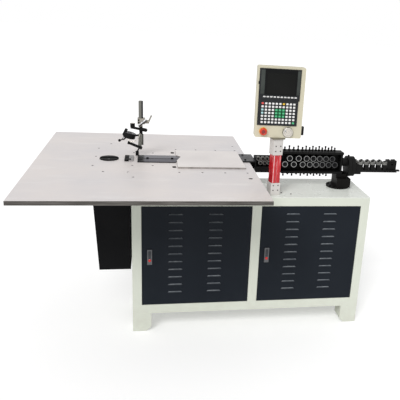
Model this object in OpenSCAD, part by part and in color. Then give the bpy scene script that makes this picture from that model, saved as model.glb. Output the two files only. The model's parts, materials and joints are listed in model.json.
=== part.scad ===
// Wire forming machine: a flat bending table on a louvred cabinet, with feed unit,
// roller straighteners and a swivelling control pendant. Millimetres, +Z up, +X along the wire.

/* [Cabinet] */
// Length of the cabinet along the wire
cab_l = 1324; // [1250:1:1400]
// Depth of the cabinet, front to back
cab_d = 376; // [350:1:420]
// Height of the cabinet's top above the floor
cab_h = 800; // [760:1:820]
// Height of the feet
foot_h = 111; // [95:1:125]
// Width of a foot seen from the front
foot_l = 102; // [85:1:120]
// Depth of a foot
foot_d = 96; // [80:1:120]
// Bevel at the inner lower corner of a foot
foot_bevel = 26; // [15:1:35]
// Width of the two outer stiles
stile_w = 50; // [44:1:58]
// Width of the middle stile
mid_w = 52; // [44:1:60]
// Distance from the left edge to the middle stile
mid_at = 646; // [620:1:670]
// Height of the rail above the doors, top sheet included
rail_top = 51; // [44:1:60]
// Height of the rail below the doors
rail_low = 54; // [46:1:62]
// Depth of the folded frame members
fold_d = 28; // [25:1:34]
// Thickness of the frame and panel sheet
sheet_t = 2.5; // [2:0.25:3.5]
// Thickness of the top sheet
top_t = 4; // [3:0.5:6]
// Seam between parts that are bolted or welded together
seam = 0.1; // [0.05:0.01:0.2]
// Height of the rim round the floor tray
tray_rim = 20; // [12:1:24]

/* [Doors] */
// Thickness of the door sheet
door_sheet = 2; // [1.5:0.25:3]
// Depth of the door's folded edge
door_t = 14; // [13:0.5:16]
// Gap round a door
door_gap = 2; // [1.5:0.25:3]
// Gap at the hinge side
hinge_gap = 3.5; // [3.2:0.1:5]
// Distance of the hinge pin from the door's edge and face
hinge_in = 7; // [6.5:0.1:7.5]
// Radius of the hinge pins
hinge_r = 3; // [2.5:0.25:3.5]
// Depth of the hinge pins in the door
hinge_len = 12; // [9:1:16]
// Number of louvres in a column
louvre_n = 11; // [6:1:12]
// Vertical pitch of the louvres
louvre_pitch = 46; // [36:1:48]
// Width of a louvre
louvre_w = 80; // [60:1:100]
// Height of a louvre's hood
louvre_h = 9; // [7:0.5:12]
// How far a hood stands out of the door
louvre_out = 6; // [4:0.5:8]
// Wall of a hood
louvre_wall = 1.4; // [1:0.1:2]
// Distance of the top louvre below the door's upper edge
louvre_top = 50; // [40:1:60]
// Centre of the first louvre column from the door's left edge
louvre_a = 179; // [150:1:200]
// Centre of the second louvre column from the door's left edge
louvre_b = 395; // [360:1:420]

/* [Door locks] */
// Centre of the lock from the door's left edge
lock_in = 41; // [34:1:60]
// Width of the lock plate
lock_w = 26; // [24:1:30]
// Height of the lock plate
lock_h = 88; // [84:1:100]
// How far the lock plate stands out of the door
lock_out = 6; // [4:0.5:8]
// Depth of the lock body behind the door face
lock_back = 14; // [12:0.5:16]
// Width of the swing handle
grip_w = 14; // [12:0.5:16]
// Length of the swing handle below its pivot
grip_l = 37; // [32:1:40]
// Thickness of the swing handle
grip_t = 10; // [8:0.5:11]
// Radius of the lock's push button
knob_r = 8; // [6:0.25:8.5]
// Distance of the push button below the lock's middle
knob_low = 18.5; // [17:0.5:24]
// Travel of the lock's push button
knob_travel = 3; // [2:0.5:4]
// Turning and sliding clearance between fitted pieces
fit = 0.3; // [0.2:0.05:0.4]

/* [Table] */
// Height of the riser between cabinet and table
riser_h = 128; // [115:1:140]
// Length of the table along the wire
table_l = 1138; // [1110:1:1200]
// Depth of the table, front to back
table_d = 1392; // [1200:1:1500]
// Thickness of the table plate
table_t = 20; // [16:1:24]
// How far the table reaches over the cabinet
table_in = 646.5; // [620:0.5:680]
// Distance of the wire line behind the table's middle
wire_y = 32; // [20:1:40]
// Height of the wire's centre above the table
wire_up = 3.5; // [3:0.25:4]
// Diameter of the wire
wire_d = 4; // [3:0.5:4.5]
// Radius of the round hole near the table's right corner
corner_hole_r = 11; // [8:0.5:14]
// Length of the lifting slots
slot_l = 36; // [28:1:44]
// Width of the lifting slots
slot_w = 20; // [14:1:24]
// Distance of the lifting slots from the wire line
slot_y = 157; // [140:1:180]
// Radius of a table screw's head
screw_r = 5; // [4:0.25:6]
// Depth of a screw's counterbore
screw_sink = 6; // [5:0.5:8]
// Spacing of the screws beside the feed unit
screw_pitch = 118.5; // [110:0.5:120]
// Wall of the riser between cabinet and table
riser_wall = 8; // [5:0.5:12]
// Depth of the riser
riser_d = 320; // [315:1:340]

/* [Bending head] */
// Radius of the turret
turret_r = 50; // [45:0.5:54]
// How far the turret's two halves stand above the table
turret_up = 5.5; // [4:0.5:7]
// Gap between the turret and its hole
turret_gap = 1; // [0.6:0.1:2]
// Width of the wire slot across the turret
slot_bar = 19; // [16:0.5:22]
// Thickness of the hard bar in the slot
bar_t = 3; // [2:0.5:5]
// Radius of the turret's shaft
spindle_r = 20; // [16:0.5:24]
// Length of the turret's shaft in its bearing
spindle_l = 70; // [50:1:76]
// Radius of the bending pin
pin_r = 5; // [4:0.25:6]
// Distance of the bending pin from the turret's centre
pin_at = 24; // [20:0.5:30]
// Length of the bending pin
pin_l = 20; // [18:0.5:22]
// Travel of the bending pin
pin_travel = 12; // [8:0.5:14]
// Width of the black head housing at the top
house_w = 205; // [190:1:215]
// How much narrower the head housing is at the bottom
house_taper = 34; // [20:1:40]
// Depth of the head housing
house_d = 223; // [200:1:240]
// Height of the head housing
house_h = 591; // [560:1:620]
// Gap between the head housing and the cabinet
house_gap = 10; // [4:0.5:20]
// How far the housing's middle lies before the wire line
house_fwd = 0.5; // [0:0.5:6]
// Width of the bending motor
motor_w = 110; // [90:1:120]
// Length of the bending motor
motor_l = 210; // [180:1:240]
// Radius of the spindle bearing's body
bearing_r = 62; // [56:0.5:64]
// Length of the spindle bearing's body
bearing_l = 78; // [77:0.5:90]
// Height of the reducer under the bearing
reducer_l = 110; // [90:1:130]

/* [Cutter and guide] */
// Gap between the turret and the cutter
cutter_gap = 31.8; // [28:0.1:36]
// Length of each of the cutter's halves along the wire
cutter_l = 23; // [18:0.5:26]
// Depth of the cutter across the wire
cutter_d = 108; // [90:1:120]
// Height of the cutter above the table
cutter_up = 8; // [7:0.25:9]
// Downward travel of the blade
cutter_travel = 6; // [4:0.5:8]
// Radius of the wire hole through the cutter
eye_r = 2.6; // [2.4:0.1:3.2]
// Gap between the cutter and the wire guide
guide_gap = 22.5; // [16:0.5:30]
// Length of the wire guide along its front edge
guide_l = 202; // [180:1:220]
// How far the wire guide's tip reaches past its front edge
guide_slant = 31; // [20:1:50]
// Distance from the wire guide's front edge back to its tip
guide_tip = 105; // [90:1:110]
// Depth of the wire guide
guide_d = 146; // [120:1:160]
// Thickness of the wire guide
guide_t = 5; // [4.5:0.25:6]
// Length of the dark nose block of the guide
nose_l = 28; // [20:1:36]
// Width of the wire groove
groove_w = 6; // [5:0.25:8]
// Radius of the sight holes in the guide
sight_r = 7; // [5:0.5:9]

/* [Feed unit] */
// Distance of the feed cover from the table's right edge
cover_in = 43.7; // [36:0.1:60]
// Gap between the guide's front corner and the cover
cover_gap = 7.5; // [4:0.5:12]
// Length of the feed cover
cover_l = 364; // [340:1:366]
// Depth of the feed cover
cover_d = 372; // [340:1:400]
// Height of the feed cover
cover_h = 9.5; // [9:0.25:12]
// Thickness of the cover's sheet
cover_t = 2.5; // [2:0.25:3]
// Width of the rim under the cover's edge
rim_w = 4; // [3:0.5:6]
// Radius of the feed rollers
feed_r = 60; // [50:0.5:64]
// Thickness of the feed rollers
feed_t = 11; // [9:0.5:12]
// Radius of the feed rollers' shafts
feed_shaft_r = 12; // [10:0.5:14]
// Opening travel of the pinch roller
pinch_travel = 4; // [2:0.5:6]
// Length of the feed gearbox
gear_l = 240; // [220:1:260]
// Depth of the feed gearbox
gear_d = 210; // [200:1:230]
// Gap between the feed gearbox and the table
gear_gap = 24; // [22:1:38]
// Width of the feed motor
feed_motor_w = 120; // [100:1:130]
// Length of the feed motor inside the cabinet
feed_motor_l = 230; // [180:1:250]

/* [Straightener] */
// Distance of the channel's left end from the cabinet's left edge
chan_at = 836; // [826:1:846]
// Length of the roller channel
chan_l = 371; // [365:1:380]
// Distance from the wire down to the channel's underside
chan_drop = 67.5; // [62:0.5:72]
// Height of the channel
chan_h = 128; // [124:1:150]
// Depth of the channel
chan_d = 68; // [64:1:72]
// Thickness of the channel's plates
chan_t = 12; // [10:0.5:14]
// Distance of the channel's front edge before the wire line
chan_fwd = 26; // [24:1:30]
// Radius of the straightening rollers
roll_r = 18; // [16:0.25:18.5]
// Thickness of the straightening rollers
roll_t = 22; // [18:0.5:24]
// Depth of the roller's V groove
vee_d = 3; // [2.5:0.25:4]
// Half width of the roller's V groove
vee_w = 3.5; // [3:0.25:4.5]
// Radius of the rollers' axles
axle_r = 6; // [4:0.25:7]
// Radius of the recess in a roller's faces
dish_r = 12; // [11:0.25:13]
// Depth of the recess in a roller's faces
dish_d = 3; // [2:0.25:4]
// First lower roller from the channel's left end
roll_first = 23.5; // [22:0.5:28]
// Wide pitch of the first rollers
pitch_a = 53; // [50:0.5:54]
// Pitch after the wide ones
pitch_b = 43; // [41:0.5:45]
// Narrow pitch of the last rollers
pitch_c = 38.5; // [38:0.25:39]
// Width of a roller's slide block
block_w = 18; // [14:0.5:18.5]
// Length of a slide block beyond its roller's axle
block_up = 30; // [26:1:34]
// Length of a slide block towards the wire
block_in = 14; // [10:0.5:15]
// Radius of an adjusting bolt
bolt_r = 4; // [3:0.25:4.5]
// Height of the taller adjusting bolts above the channel
bolt_tall = 27; // [22:1:30]
// Height of the shorter adjusting bolts above the channel
bolt_short = 19; // [12:1:22]
// Height of a lock nut
nut_h = 6; // [4:0.5:7]
// Column width along the wire
col_w = 66; // [60:1:70]
// Column depth across the wire
col_d = 80; // [70:1:86]
// Wall of the column
col_wall = 6; // [4:0.5:8]
// Width of the column's wide base along the wire
base_w = 84; // [80:1:86]
// How far the base stands before the column
base_fwd = 26; // [20:1:32]
// Radius of the column's round foot
col_foot_r = 68; // [64:1:74]
// Thickness of the column's round foot
col_foot_t = 10; // [8:0.5:12]

/* [Entry unit] */
// Distance from the cabinet's left edge to the tip of the entry bar
bar_tip = 1578.5; // [1550:0.5:1600]
// Radius of the two clamping discs
disc_r = 61; // [58:0.5:70]
// Thickness of the first disc
disc_a = 20; // [16:0.5:24]
// Thickness of the second disc
disc_b = 21; // [16:0.5:24]
// Gap between the discs
disc_gap = 2; // [1:0.5:4]
// How far the discs' centre lies below the wire
disc_drop = 25; // [14:0.5:28]
// Width of the entry bar
bar_w = 70; // [66:1:80]
// Thickness of the entry bar
bar_h = 13; // [10:0.5:16]
// Distance from the wire down to the entry bar's top
bar_drop = 39.5; // [36:0.5:44]
// Radius of the entry rollers
entry_r = 17; // [15:0.25:17.5]
// Thickness of the entry rollers
entry_t = 16; // [14:0.5:22]
// Pitch of the entry rollers in a row
entry_pitch = 38.5; // [38:0.1:39.5]
// Number of entry rollers in a row
entry_n = 5; // [3:1:5]
// Length of the end eyelet block
eyelet_l = 56; // [40:1:60]

/* [Exit unit] */
// Length of the exit bracket's plate
exit_plate_l = 75; // [70:1:80]
// Depth of the exit bracket's plate
exit_plate_d = 165; // [140:1:180]
// Thickness of the exit bracket's plate
exit_plate_t = 8; // [6:0.5:10]
// Height of the exit box
exit_h = 89; // [84:1:94]
// Depth of the exit box
exit_d = 54; // [50:1:58]
// Plate thickness of the exit box
exit_t = 8; // [6:0.5:9]
// Radius of the exit rollers
exit_r = 12.5; // [11:0.25:12.75]
// Pitch of the exit rollers
exit_pitch = 26; // [26:0.25:28]
// Thickness of the exit rollers
exit_rt = 16; // [12:0.5:18]

/* [Pendant] */
// Distance of the pole from the cabinet's left edge
pole_at = 768; // [750:1:780]
// Distance of the pole before the cabinet's middle
pole_fwd = 122; // [110:1:130]
// Angle to which the pole is turned
pole_turn = 12; // [0:1:25]
// Angle to which the pendant is swivelled
case_turn = -3; // [-20:1:20]
// Width of the inner pole
pole_w = 46; // [40:1:50]
// Wall of the inner pole
pole_wall = 3; // [2:0.5:4]
// Wall of the two sleeves
sleeve_wall = 4.7; // [3:0.1:6]
// Height of the lower sleeve
sleeve_low = 70; // [60:1:90]
// Height of the upper sleeve
sleeve_up = 88; // [70:1:100]
// Height of the pole above the cabinet
pole_h = 316; // [300:1:340]
// Width of the swivel flange
flange_w = 70; // [62:1:80]
// Thickness of the swivel flange
flange_t = 8; // [6:0.5:10]
// Radius of the swivel pin
swivel_r = 10; // [8:0.5:12]
// Width of the pendant's case
case_w = 253; // [242:1:266]
// Height of the pendant's case
case_h = 374; // [366:1:395]
// Depth of the pendant's case
case_d = 50; // [44:1:64]
// Corner radius of the pendant's case
case_r = 10; // [6:0.5:14]
// Wall of the pendant's case
case_wall = 2.5; // [2:0.25:3]
// Width of the dark control panel
panel_w = 220; // [214:1:224]
// Height of the dark control panel
panel_h = 296; // [290:1:300]
// Thickness of the dark control panel
panel_t = 4; // [3.5:0.25:5]
// Bottom of the control panel above the case's bottom
panel_at = 66; // [64:0.5:72]
// Width of the screen
screen_w = 153; // [140:1:160]
// Height of the screen
screen_h = 110; // [96:1:114]
// Thickness of the screen's pane
screen_t = 2; // [1.5:0.25:2.5]
// Number of key columns
key_cols = 10; // [4:1:10]
// Number of key rows
key_rows = 7; // [3:1:7]
// Pitch of the keys across
key_px = 18.8; // [17:0.1:19.6]
// Pitch of the keys down
key_py = 16.6; // [15:0.1:17.2]
// Width of a key
key_w = 12; // [9:0.5:14]
// Height of a key
key_h = 10; // [8:0.5:12]
// How far a key stands out
key_t = 1.2; // [0.8:0.1:2]
// Radius of the emergency stop button
stop_r = 20; // [16:0.5:22]
// Radius of the emergency stop's stem
stop_stem = 9; // [7:0.5:11]
// Travel of the emergency stop button
stop_travel = 5; // [3:0.5:6]
// Height of the emergency stop and handwheel above the case's bottom
knob_up = 32.5; // [31:0.5:36]
// Distance of the emergency stop from the case's middle
stop_at = 81; // [70:1:92]
// Distance of the handwheel from the case's middle
wheel_at = 52; // [44:1:70]
// Radius of the handwheel
wheel_r = 27.5; // [24:0.5:30]
// Thickness of the handwheel
wheel_t = 12; // [8:0.5:16]

/* [Holder arm] */
// Distance of the arm's foot behind the guide's rear edge
arm_back = 11; // [10:0.5:20]
// Radius of the arm's foot
arm_foot_r = 9; // [7:0.5:10]
// Height of the arm's foot
arm_foot_h = 24; // [18:1:30]
// Height of the lower pivot above the table
arm_low = 49; // [46:0.5:56]
// Height of the upper pivot above the lower one
arm_mid = 86; // [80:0.5:96]
// Half thickness of the arm's eyes
eye_t = 4; // [3:0.25:5]
// Outer radius of the arm's eyes
eye_out = 9; // [8:0.25:10]
// Thickness of the arm's cheeks
cheek_t = 5; // [4:0.25:6]
// Width of the square post
post_w = 18; // [16:0.5:20]
// Angle to which the square post is turned
post_turn = -30; // [-45:1:0]
// Radius of the arm's drum
drum_r = 34; // [30:0.5:36]
// Length of the square post
post_l = 122; // [100:1:140]

/* [Hidden] */
$fn = 48;
e = 0.01;

cream = [0.88, 0.90, 0.84];
slate = [0.14, 0.15, 0.19];
black = [0.07, 0.07, 0.08];
steel = [0.72, 0.70, 0.70];
bright = [0.80, 0.81, 0.82];
blued = [0.38, 0.40, 0.45];
beige = [0.84, 0.82, 0.72];

// Main planes
table_over = table_l - table_in;
x0 = (table_over - bar_tip) / 2;
x1 = x0 + cab_l;
yf = -cab_d / 2;
yb = cab_d / 2;
frame_z1 = cab_h - top_t;
open_z0 = foot_h + rail_low;
open_z1 = cab_h - rail_top;
function open_x0(i) = i == 0 ? x0 + stile_w : x0 + mid_at + mid_w;
function open_x1(i) = i == 0 ? x0 + mid_at : x1 - stile_w;
table_x1 = x0 + table_in;
table_x0 = table_x1 - table_l;
table_z0 = cab_h + riser_h;
table_z = table_z0 + table_t;
wire_z = table_z + wire_up;
wire_r = wire_d / 2;

// Doors
function door_x0(i) = open_x0(i) + door_gap;
function door_x1(i) = open_x1(i) - hinge_gap;
door_z0 = open_z0 + door_gap;
door_z1 = open_z1 - door_gap;
function hinge_x(i) = door_x1(i) - hinge_in;
hinge_y = yf + hinge_in;
hinge_block = 2 * hinge_in + 2;
function lock_x(i) = door_x0(i) + lock_in;
lock_z = (door_z0 + door_z1) / 2;
lock_lip = 2;
grip_z = lock_z + lock_h / 2 - lock_lip - grip_t / 2 - 6;
grip_y = yf - lock_out + grip_t / 2 - 1;
knob_z = lock_z - knob_low;
cam_r = 8;
cam_t = 3;

// Things on the table, from the feed cover to the turret
cover_x1 = table_x1 - cover_in;
cover_x0 = cover_x1 - cover_l;
guide_x0 = cover_x0 - cover_gap - guide_l;
guide_y0 = wire_y - guide_d / 2;
guide_y1 = wire_y + guide_d / 2;
cut_x1 = guide_x0 - guide_gap;
cut_x0 = cut_x1 - 2 * cutter_l - fit;
cut_gap = 0.5;
turret_x = cut_x0 - cutter_gap - turret_r;
cover_y0 = wire_y - cover_d / 2;
cover_y1 = wire_y + cover_d / 2;
feed_x = (cover_x0 + cover_x1) / 2;
feed_off = feed_r + 0.5;
window_l = 2 * feed_r + 30;
window_d = 4 * feed_r + 30;
roller_top_z = wire_z + 2.5;
slot_x = cover_x0 - 17;
corner_x = table_x1 - 47;
corner_y = -333;
turret_screws = [[-12, 357], [-74, 237], [-73, 46], [-73, -147], [-13, -260], [109, -265],
  [137, -356], [126, -135], [231, -134], [127, 146], [232, 144], [721, 355]];
feed_screws = 4;
screw_back = 243;
screw_front = 260;

// Head housing
house_x1 = x0 - house_gap;
house_x0 = house_x1 - house_w;
house_y0 = wire_y - house_fwd - house_d / 2;
house_z0 = table_z0 - house_h;

// Riser
riser_x0 = x0 + 24;
riser_x1 = table_x1 - 33;

// Straightener
chan_x0 = x0 + chan_at;
chan_x1 = chan_x0 + chan_l;
chan_y0 = wire_y - chan_fwd;
chan_y1 = chan_y0 + chan_d;
chan_z0 = wire_z - chan_drop;
chan_z1 = chan_z0 + chan_h;
function seat(r) = r / sin(atan(vee_w / vee_d));
row_off = roll_r - vee_d + seat(wire_r);
low_steps = [0, pitch_a, 2 * pitch_a, 2 * pitch_a + pitch_b, 2 * pitch_a + pitch_b + pitch_c,
  2 * pitch_a + pitch_b + 2 * pitch_c, 2 * pitch_a + pitch_b + 3 * pitch_c,
  2 * pitch_a + pitch_b + 4 * pitch_c];
function low_x(k) = chan_x0 + roll_first + low_steps[k];
function top_x(k) = (low_x(k) + low_x(k + 1)) / 2;
low_n = 8;
top_n = 7;
block_y = wire_y + roll_t / 2 + 3;
head_r = 9;
head_t = 10;
bolt_head_r = 5;
bolt_head_h = 8;
nut_r = 7;
hidden_bolts = 1;
col_x1 = chan_x1 + 28.5;
col_x0 = col_x1 - col_w;
col_y0 = chan_y0 + (chan_d - col_d) / 2;
col_y1 = col_y0 + col_d;
foot_x = col_x0 + 26;
foot_y = col_y1 - 44;
base_z1 = wire_z - disc_drop - disc_r - 3;

// Entry unit
disc_x = col_x1;
disc_x2 = disc_x + disc_a + disc_gap;
bar_x0 = disc_x2 + disc_b;
tip_x = x0 + bar_tip;
bar_z1 = wire_z - bar_drop;
bar_z0 = bar_z1 - bar_h;
entry_off = entry_r - vee_d + seat(wire_r);
entry_x = bar_x0 + entry_r + 1;
eyelet_x0 = entry_x + (entry_n - 0.5) * entry_pitch + entry_r + 4;
tongue_l = 30;

// Exit unit
plate_x0 = cover_x1 + 2;
exit_x0 = plate_x0 + exit_plate_l;
exit_x1 = chan_x0;
exit_y0 = wire_y - exit_d / 2 + 3;
exit_z0 = chan_z0 + 4;
exit_off = exit_r - 2 + wire_r;
exit_first = exit_t + exit_r + 1;
exit_top_n = 4;
exit_low_n = 3;

// Pendant
pole_x = x0 + pole_at;
pole_y = -pole_fwd;
pole_z1 = cab_h + pole_h;
sleeve_w = pole_w + 2 * (sleeve_wall + fit);
case_z0 = pole_z1 + flange_t + fit;
case_z1 = case_z0 + case_h;
case_y0 = -case_d / 2;
panel_z0 = case_z0 + panel_at;
panel_z1 = panel_z0 + panel_h;
panel_x = -7;
panel_step = 6;
panel_mid = panel_z0 + 133;
knobs_z = case_z0 + knob_up;
screen_x = -1;
screen_z = panel_z1 - 21 - screen_h / 2;
soft_x = -3.1;
soft_z = panel_mid + 18;
soft_w = 13.5;
soft_h = 6.5;
keys_x = -8.1;
keys_z = panel_mid - 17;
collar_t = 3;

// Holder arm, measured from its foot's axis
arm_x = guide_x0 - 4.5;
arm_y = guide_y1 + arm_back;
low_dx = 15;
up_dx = 21.5;
piv_z = table_z + arm_low;
up_z = piv_z + arm_mid;
cheek_y = eye_t + fit + 0.1;
clamp_z = up_z + 45;
clamp_h = 32;

// Box given by its lowest and highest corner
module span(a, b) {
  translate(a) cube([b[0] - a[0], b[1] - a[1], b[2] - a[2]]);
}
// Profile in the YZ plane drawn out along X
module along_x(l) {
  rotate([90, 0, 90]) linear_extrude(l) children();
}
// Profile in the XZ plane drawn out along Y, towards the back
module along_y(l) {
  translate([0, l, 0]) rotate([90, 0, 0]) linear_extrude(l) children();
}
module rod_x(r, l) {
  rotate([0, 90, 0]) cylinder(r = r, h = l);
}
module rod_y(r, l) {
  rotate([-90, 0, 0]) cylinder(r = r, h = l);
}
module hex(r, h) {
  cylinder(r = r, h = h, $fn = 6);
}
// Rounded rectangle about the origin
module round_rect(w, h, r) {
  square([w - 2 * r, h], center = true);
  square([w, h - 2 * r], center = true);
  for (sx = [-1, 1], sz = [-1, 1])
    translate([sx * (w / 2 - r), sz * (h / 2 - r)]) circle(r);
}

// Folded face frame with the two door openings and the hinge pins
module front_frame() {
  color(cream) {
    difference() {
      span([x0, yf, foot_h], [x1, yf + fold_d, frame_z1]);
      for (i = [0, 1])
        span([open_x0(i), yf - 1, open_z0], [open_x1(i), yf + fold_d + 1, open_z1]);
      difference() {
        span([x0 + sheet_t, yf + sheet_t, foot_h + sheet_t],
          [x1 - sheet_t, yf + fold_d + 1, frame_z1 - sheet_t]);
        for (i = [0, 1])
          span([open_x0(i) - sheet_t, yf - 1, open_z0 - sheet_t],
            [open_x1(i) + sheet_t, yf + fold_d + 2, open_z1 + sheet_t]);
      }
    }
    for (i = [0, 1], z = [open_z0 - 1, open_z1 + 1 - door_gap - hinge_len])
      translate([hinge_x(i), hinge_y, z]) cylinder(r = hinge_r, h = door_gap + hinge_len);
  }
}

// Side walls, back wall and the four hollow feet
module foot(mx, my) {
  wall = 3;
  translate([mx > 0 ? x0 : x1, my > 0 ? yf : yb, 0]) mirror([mx > 0 ? 0 : 1, 0, 0])
    mirror([0, my > 0 ? 0 : 1, 0]) difference() {
      along_y(foot_d) polygon([[0, 0], [foot_l - foot_bevel, 0], [foot_l, foot_bevel],
        [foot_l, foot_h - seam], [0, foot_h - seam]]);
      translate([0, wall, 0]) along_y(foot_d - 2 * wall)
        polygon([[wall, wall], [foot_l - foot_bevel - wall / 2, wall],
          [foot_l - wall, foot_bevel + wall / 2], [foot_l - wall, foot_h + 1],
          [wall, foot_h + 1]]);
    }
}
module cabinet_shell() {
  color(cream) {
    for (x = [x0, x1 - sheet_t])
      span([x, yf + fold_d, foot_h], [x + sheet_t, yb, frame_z1]);
    span([x0 + sheet_t + seam, yb - sheet_t, foot_h], [x1 - sheet_t - seam, yb, frame_z1]);
    for (mx = [1, -1], my = [1, -1]) foot(mx, my);
  }
}

// Floor of the cabinet with its rim
module floor_tray() {
  a = [x0 + sheet_t + fit, yf + fold_d + fit, foot_h];
  b = [x1 - sheet_t - fit, yb - sheet_t - fit, foot_h + tray_rim];
  color(cream) difference() {
    span(a, b);
    span([a[0] + sheet_t, a[1] + sheet_t, a[2] + sheet_t],
      [b[0] - sheet_t, b[1] - sheet_t, b[2] + 1]);
  }
}

// Top sheet with the hole for the feed motor's neck
neck_r = 45;
neck_h = 12;
motor_y = wire_y - feed_off;
module cabinet_top() {
  color(cream) difference() {
    span([x0, yf, frame_z1], [x1, yb, cab_h]);
    translate([feed_x, motor_y, frame_z1 - 1]) cylinder(r = neck_r + 1, h = top_t + 2);
  }
}

// Riser of four walls that carries the table on the cabinet
module table_riser() {
  w = riser_wall;
  color(slate) {
    for (y = [-riser_d / 2, riser_d / 2 - w])
      span([riser_x0, y, cab_h], [riser_x1, y + w, table_z0]);
    for (x = [riser_x0, riser_x1 - w])
      span([x, -riser_d / 2 + w + seam, cab_h], [x + w, riser_d / 2 - w - seam, table_z0]);
  }
}

// Places of the table's sunk screws
module at_table_screws() {
  for (p = turret_screws) translate([turret_x + p[0], wire_y + p[1], 0]) children();
  for (k = [0 : feed_screws - 1], y = [wire_y + screw_back, wire_y - screw_front])
    translate([cover_x0 + 5 + k * screw_pitch, y, 0]) children();
}
module table_plate() {
  color(steel) difference() {
    span([table_x0, -table_d / 2, table_z0], [table_x1, table_d / 2, table_z]);
    translate([turret_x, wire_y, table_z0 - 1])
      cylinder(r = turret_r + turret_gap, h = table_t + 2);
    span([cut_x0 - cut_gap, wire_y - cutter_d / 2 - cut_gap, table_z0 - 1],
      [cut_x1 + cut_gap, wire_y + cutter_d / 2 + cut_gap, table_z + 1]);
    span([feed_x - window_l / 2, wire_y - window_d / 2, table_z0 - 1],
      [feed_x + window_l / 2, wire_y + window_d / 2, table_z + 1]);
    for (s = [-1, 1]) translate([slot_x, wire_y + s * slot_y, table_z0 - 1])
      linear_extrude(table_t + 2) {
        square([slot_w, slot_l - slot_w], center = true);
        for (t = [-1, 1]) translate([0, t * (slot_l - slot_w) / 2]) circle(slot_w / 2);
      }
    translate([corner_x, corner_y, table_z0 - 1])
      cylinder(r = corner_hole_r, h = table_t + 2);
    at_table_screws() translate([0, 0, table_z - screw_sink])
      cylinder(r = screw_r + 0.6, h = screw_sink + 1);
  }
}

// Screws of the table, pole sleeves, column foot and exit bracket
module cap_screw(r, h) {
  difference() {
    cylinder(r = r, h = h);
    translate([0, 0, h * 0.45]) hex(r * 0.55, h);
  }
}
sleeve_screw_x = 14;
sleeve_screw_z = 14;
module on_pole() {
  translate([pole_x, pole_y, 0]) rotate([0, 0, pole_turn]) children();
}
module on_case() {
  translate([pole_x, pole_y, 0]) rotate([0, 0, case_turn]) children();
}
module screws() {
  color(blued) {
    at_table_screws() translate([0, 0, table_z - screw_sink])
      cap_screw(screw_r, screw_sink - 0.4);
    on_pole() for (sx = [-1, 1], sz = [-1, 1], c = [cab_h + sleeve_low / 2 + 8,
        pole_z1 - sleeve_up / 2 - 8])
      translate([sx * sleeve_screw_x, -sleeve_w / 2, c + sz * sleeve_screw_z])
        rotate([90, 0, 0]) cap_screw(3, 2);
    for (a = [70, 110, 155, 205])
      translate([foot_x + (col_foot_r - 10) * cos(a), foot_y + (col_foot_r - 10) * sin(a),
        cab_h + col_foot_t]) cap_screw(6, 6);
    for (y = [25, exit_plate_d - 25])
      translate([plate_x0 + 20, wire_y - 39 + y, table_z + exit_plate_t]) cap_screw(6, 5);
    for (p = [[52, 17], [102, -5]])
      translate([pole_x + p[0], pole_y + p[1], cab_h]) cap_screw(4, 2.5);
  }
}

// Outline of the wire guide, grown by g on every side
function guide_pts(g) = [[guide_x0 - g, guide_y0 - g],
  [guide_x0 + guide_l + g, guide_y0 - g],
  [guide_x0 + guide_l + guide_slant + g, guide_y0 + guide_tip],
  [guide_x0 + guide_l + g, guide_y1 + g], [guide_x0 - g, guide_y1 + g]];

// Lid over the feed rollers, open below, notched round the guide's end
module feed_cover() {
  clear = 1;
  color(steel) difference() {
    span([cover_x0, cover_y0, table_z], [cover_x1, cover_y1, table_z + cover_h]);
    translate([0, 0, table_z - 1]) linear_extrude(cover_h + 2) polygon(guide_pts(clear));
    difference() {
      span([cover_x0 + rim_w, cover_y0 + rim_w, table_z - 1],
        [cover_x1 - rim_w, cover_y1 - rim_w, table_z + cover_h - cover_t]);
      translate([0, 0, table_z - 2]) linear_extrude(cover_h + 4)
        polygon(guide_pts(clear + rim_w));
    }
    span([cover_x0 - 1, wire_y - groove_w, table_z - 1],
      [cover_x1 + 1, wire_y + groove_w, wire_z + wire_r + 0.5]);
  }
}

// Two rails that lead the wire from the feed unit to the cutter
module wire_guide() {
  color(blued) difference() {
    union() {
      translate([0, 0, table_z]) linear_extrude(guide_t) polygon(guide_pts(0));
      span([guide_x0, wire_y - 26, table_z + guide_t - e],
        [guide_x0 + nose_l, wire_y + 26, table_z + guide_t + 1.5]);
    }
    span([guide_x0 - 1, wire_y - groove_w / 2, table_z - 1],
      [cover_x1, wire_y + groove_w / 2, table_z + 3 * guide_t]);
    for (x = [53, 186]) translate([guide_x0 + x, wire_y, table_z - 1])
      cylinder(r = sight_r, h = guide_t + 2);
  }
}

// Fixed die of the cutter, set in the table's slot
module cutter_block() {
  color(bright) difference() {
    span([cut_x0 + cutter_l + fit, wire_y - cutter_d / 2, table_z0],
      [cut_x1, wire_y + cutter_d / 2, table_z + cutter_up]);
    translate([cut_x0, wire_y, wire_z]) rod_x(eye_r, 3 * cutter_l);
    translate([cut_x1 - cutter_l / 2, wire_y, wire_z]) cylinder(r = 4, h = cutter_up);
  }
}
// Moving blade with its rod, drawn down to shear the wire
blade_foot = 3;
rod_r = 5;
rod_l = 48;
module cutter_blade() {
  color(blued) difference() {
    union() {
      span([cut_x0, wire_y - cutter_d / 2, table_z0 - blade_foot],
        [cut_x0 + cutter_l, wire_y + cutter_d / 2, table_z + cutter_up]);
      translate([cut_x0 + cutter_l / 2, wire_y, table_z0 - blade_foot - rod_l])
        cylinder(r = rod_r, h = rod_l + 1);
    }
    translate([cut_x0 - 1, wire_y, wire_z]) rod_x(eye_r, 3 * cutter_l);
    translate([cut_x0 + cutter_l / 2, wire_y, wire_z]) cylinder(r = 4, h = cutter_up);
  }
}

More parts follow.
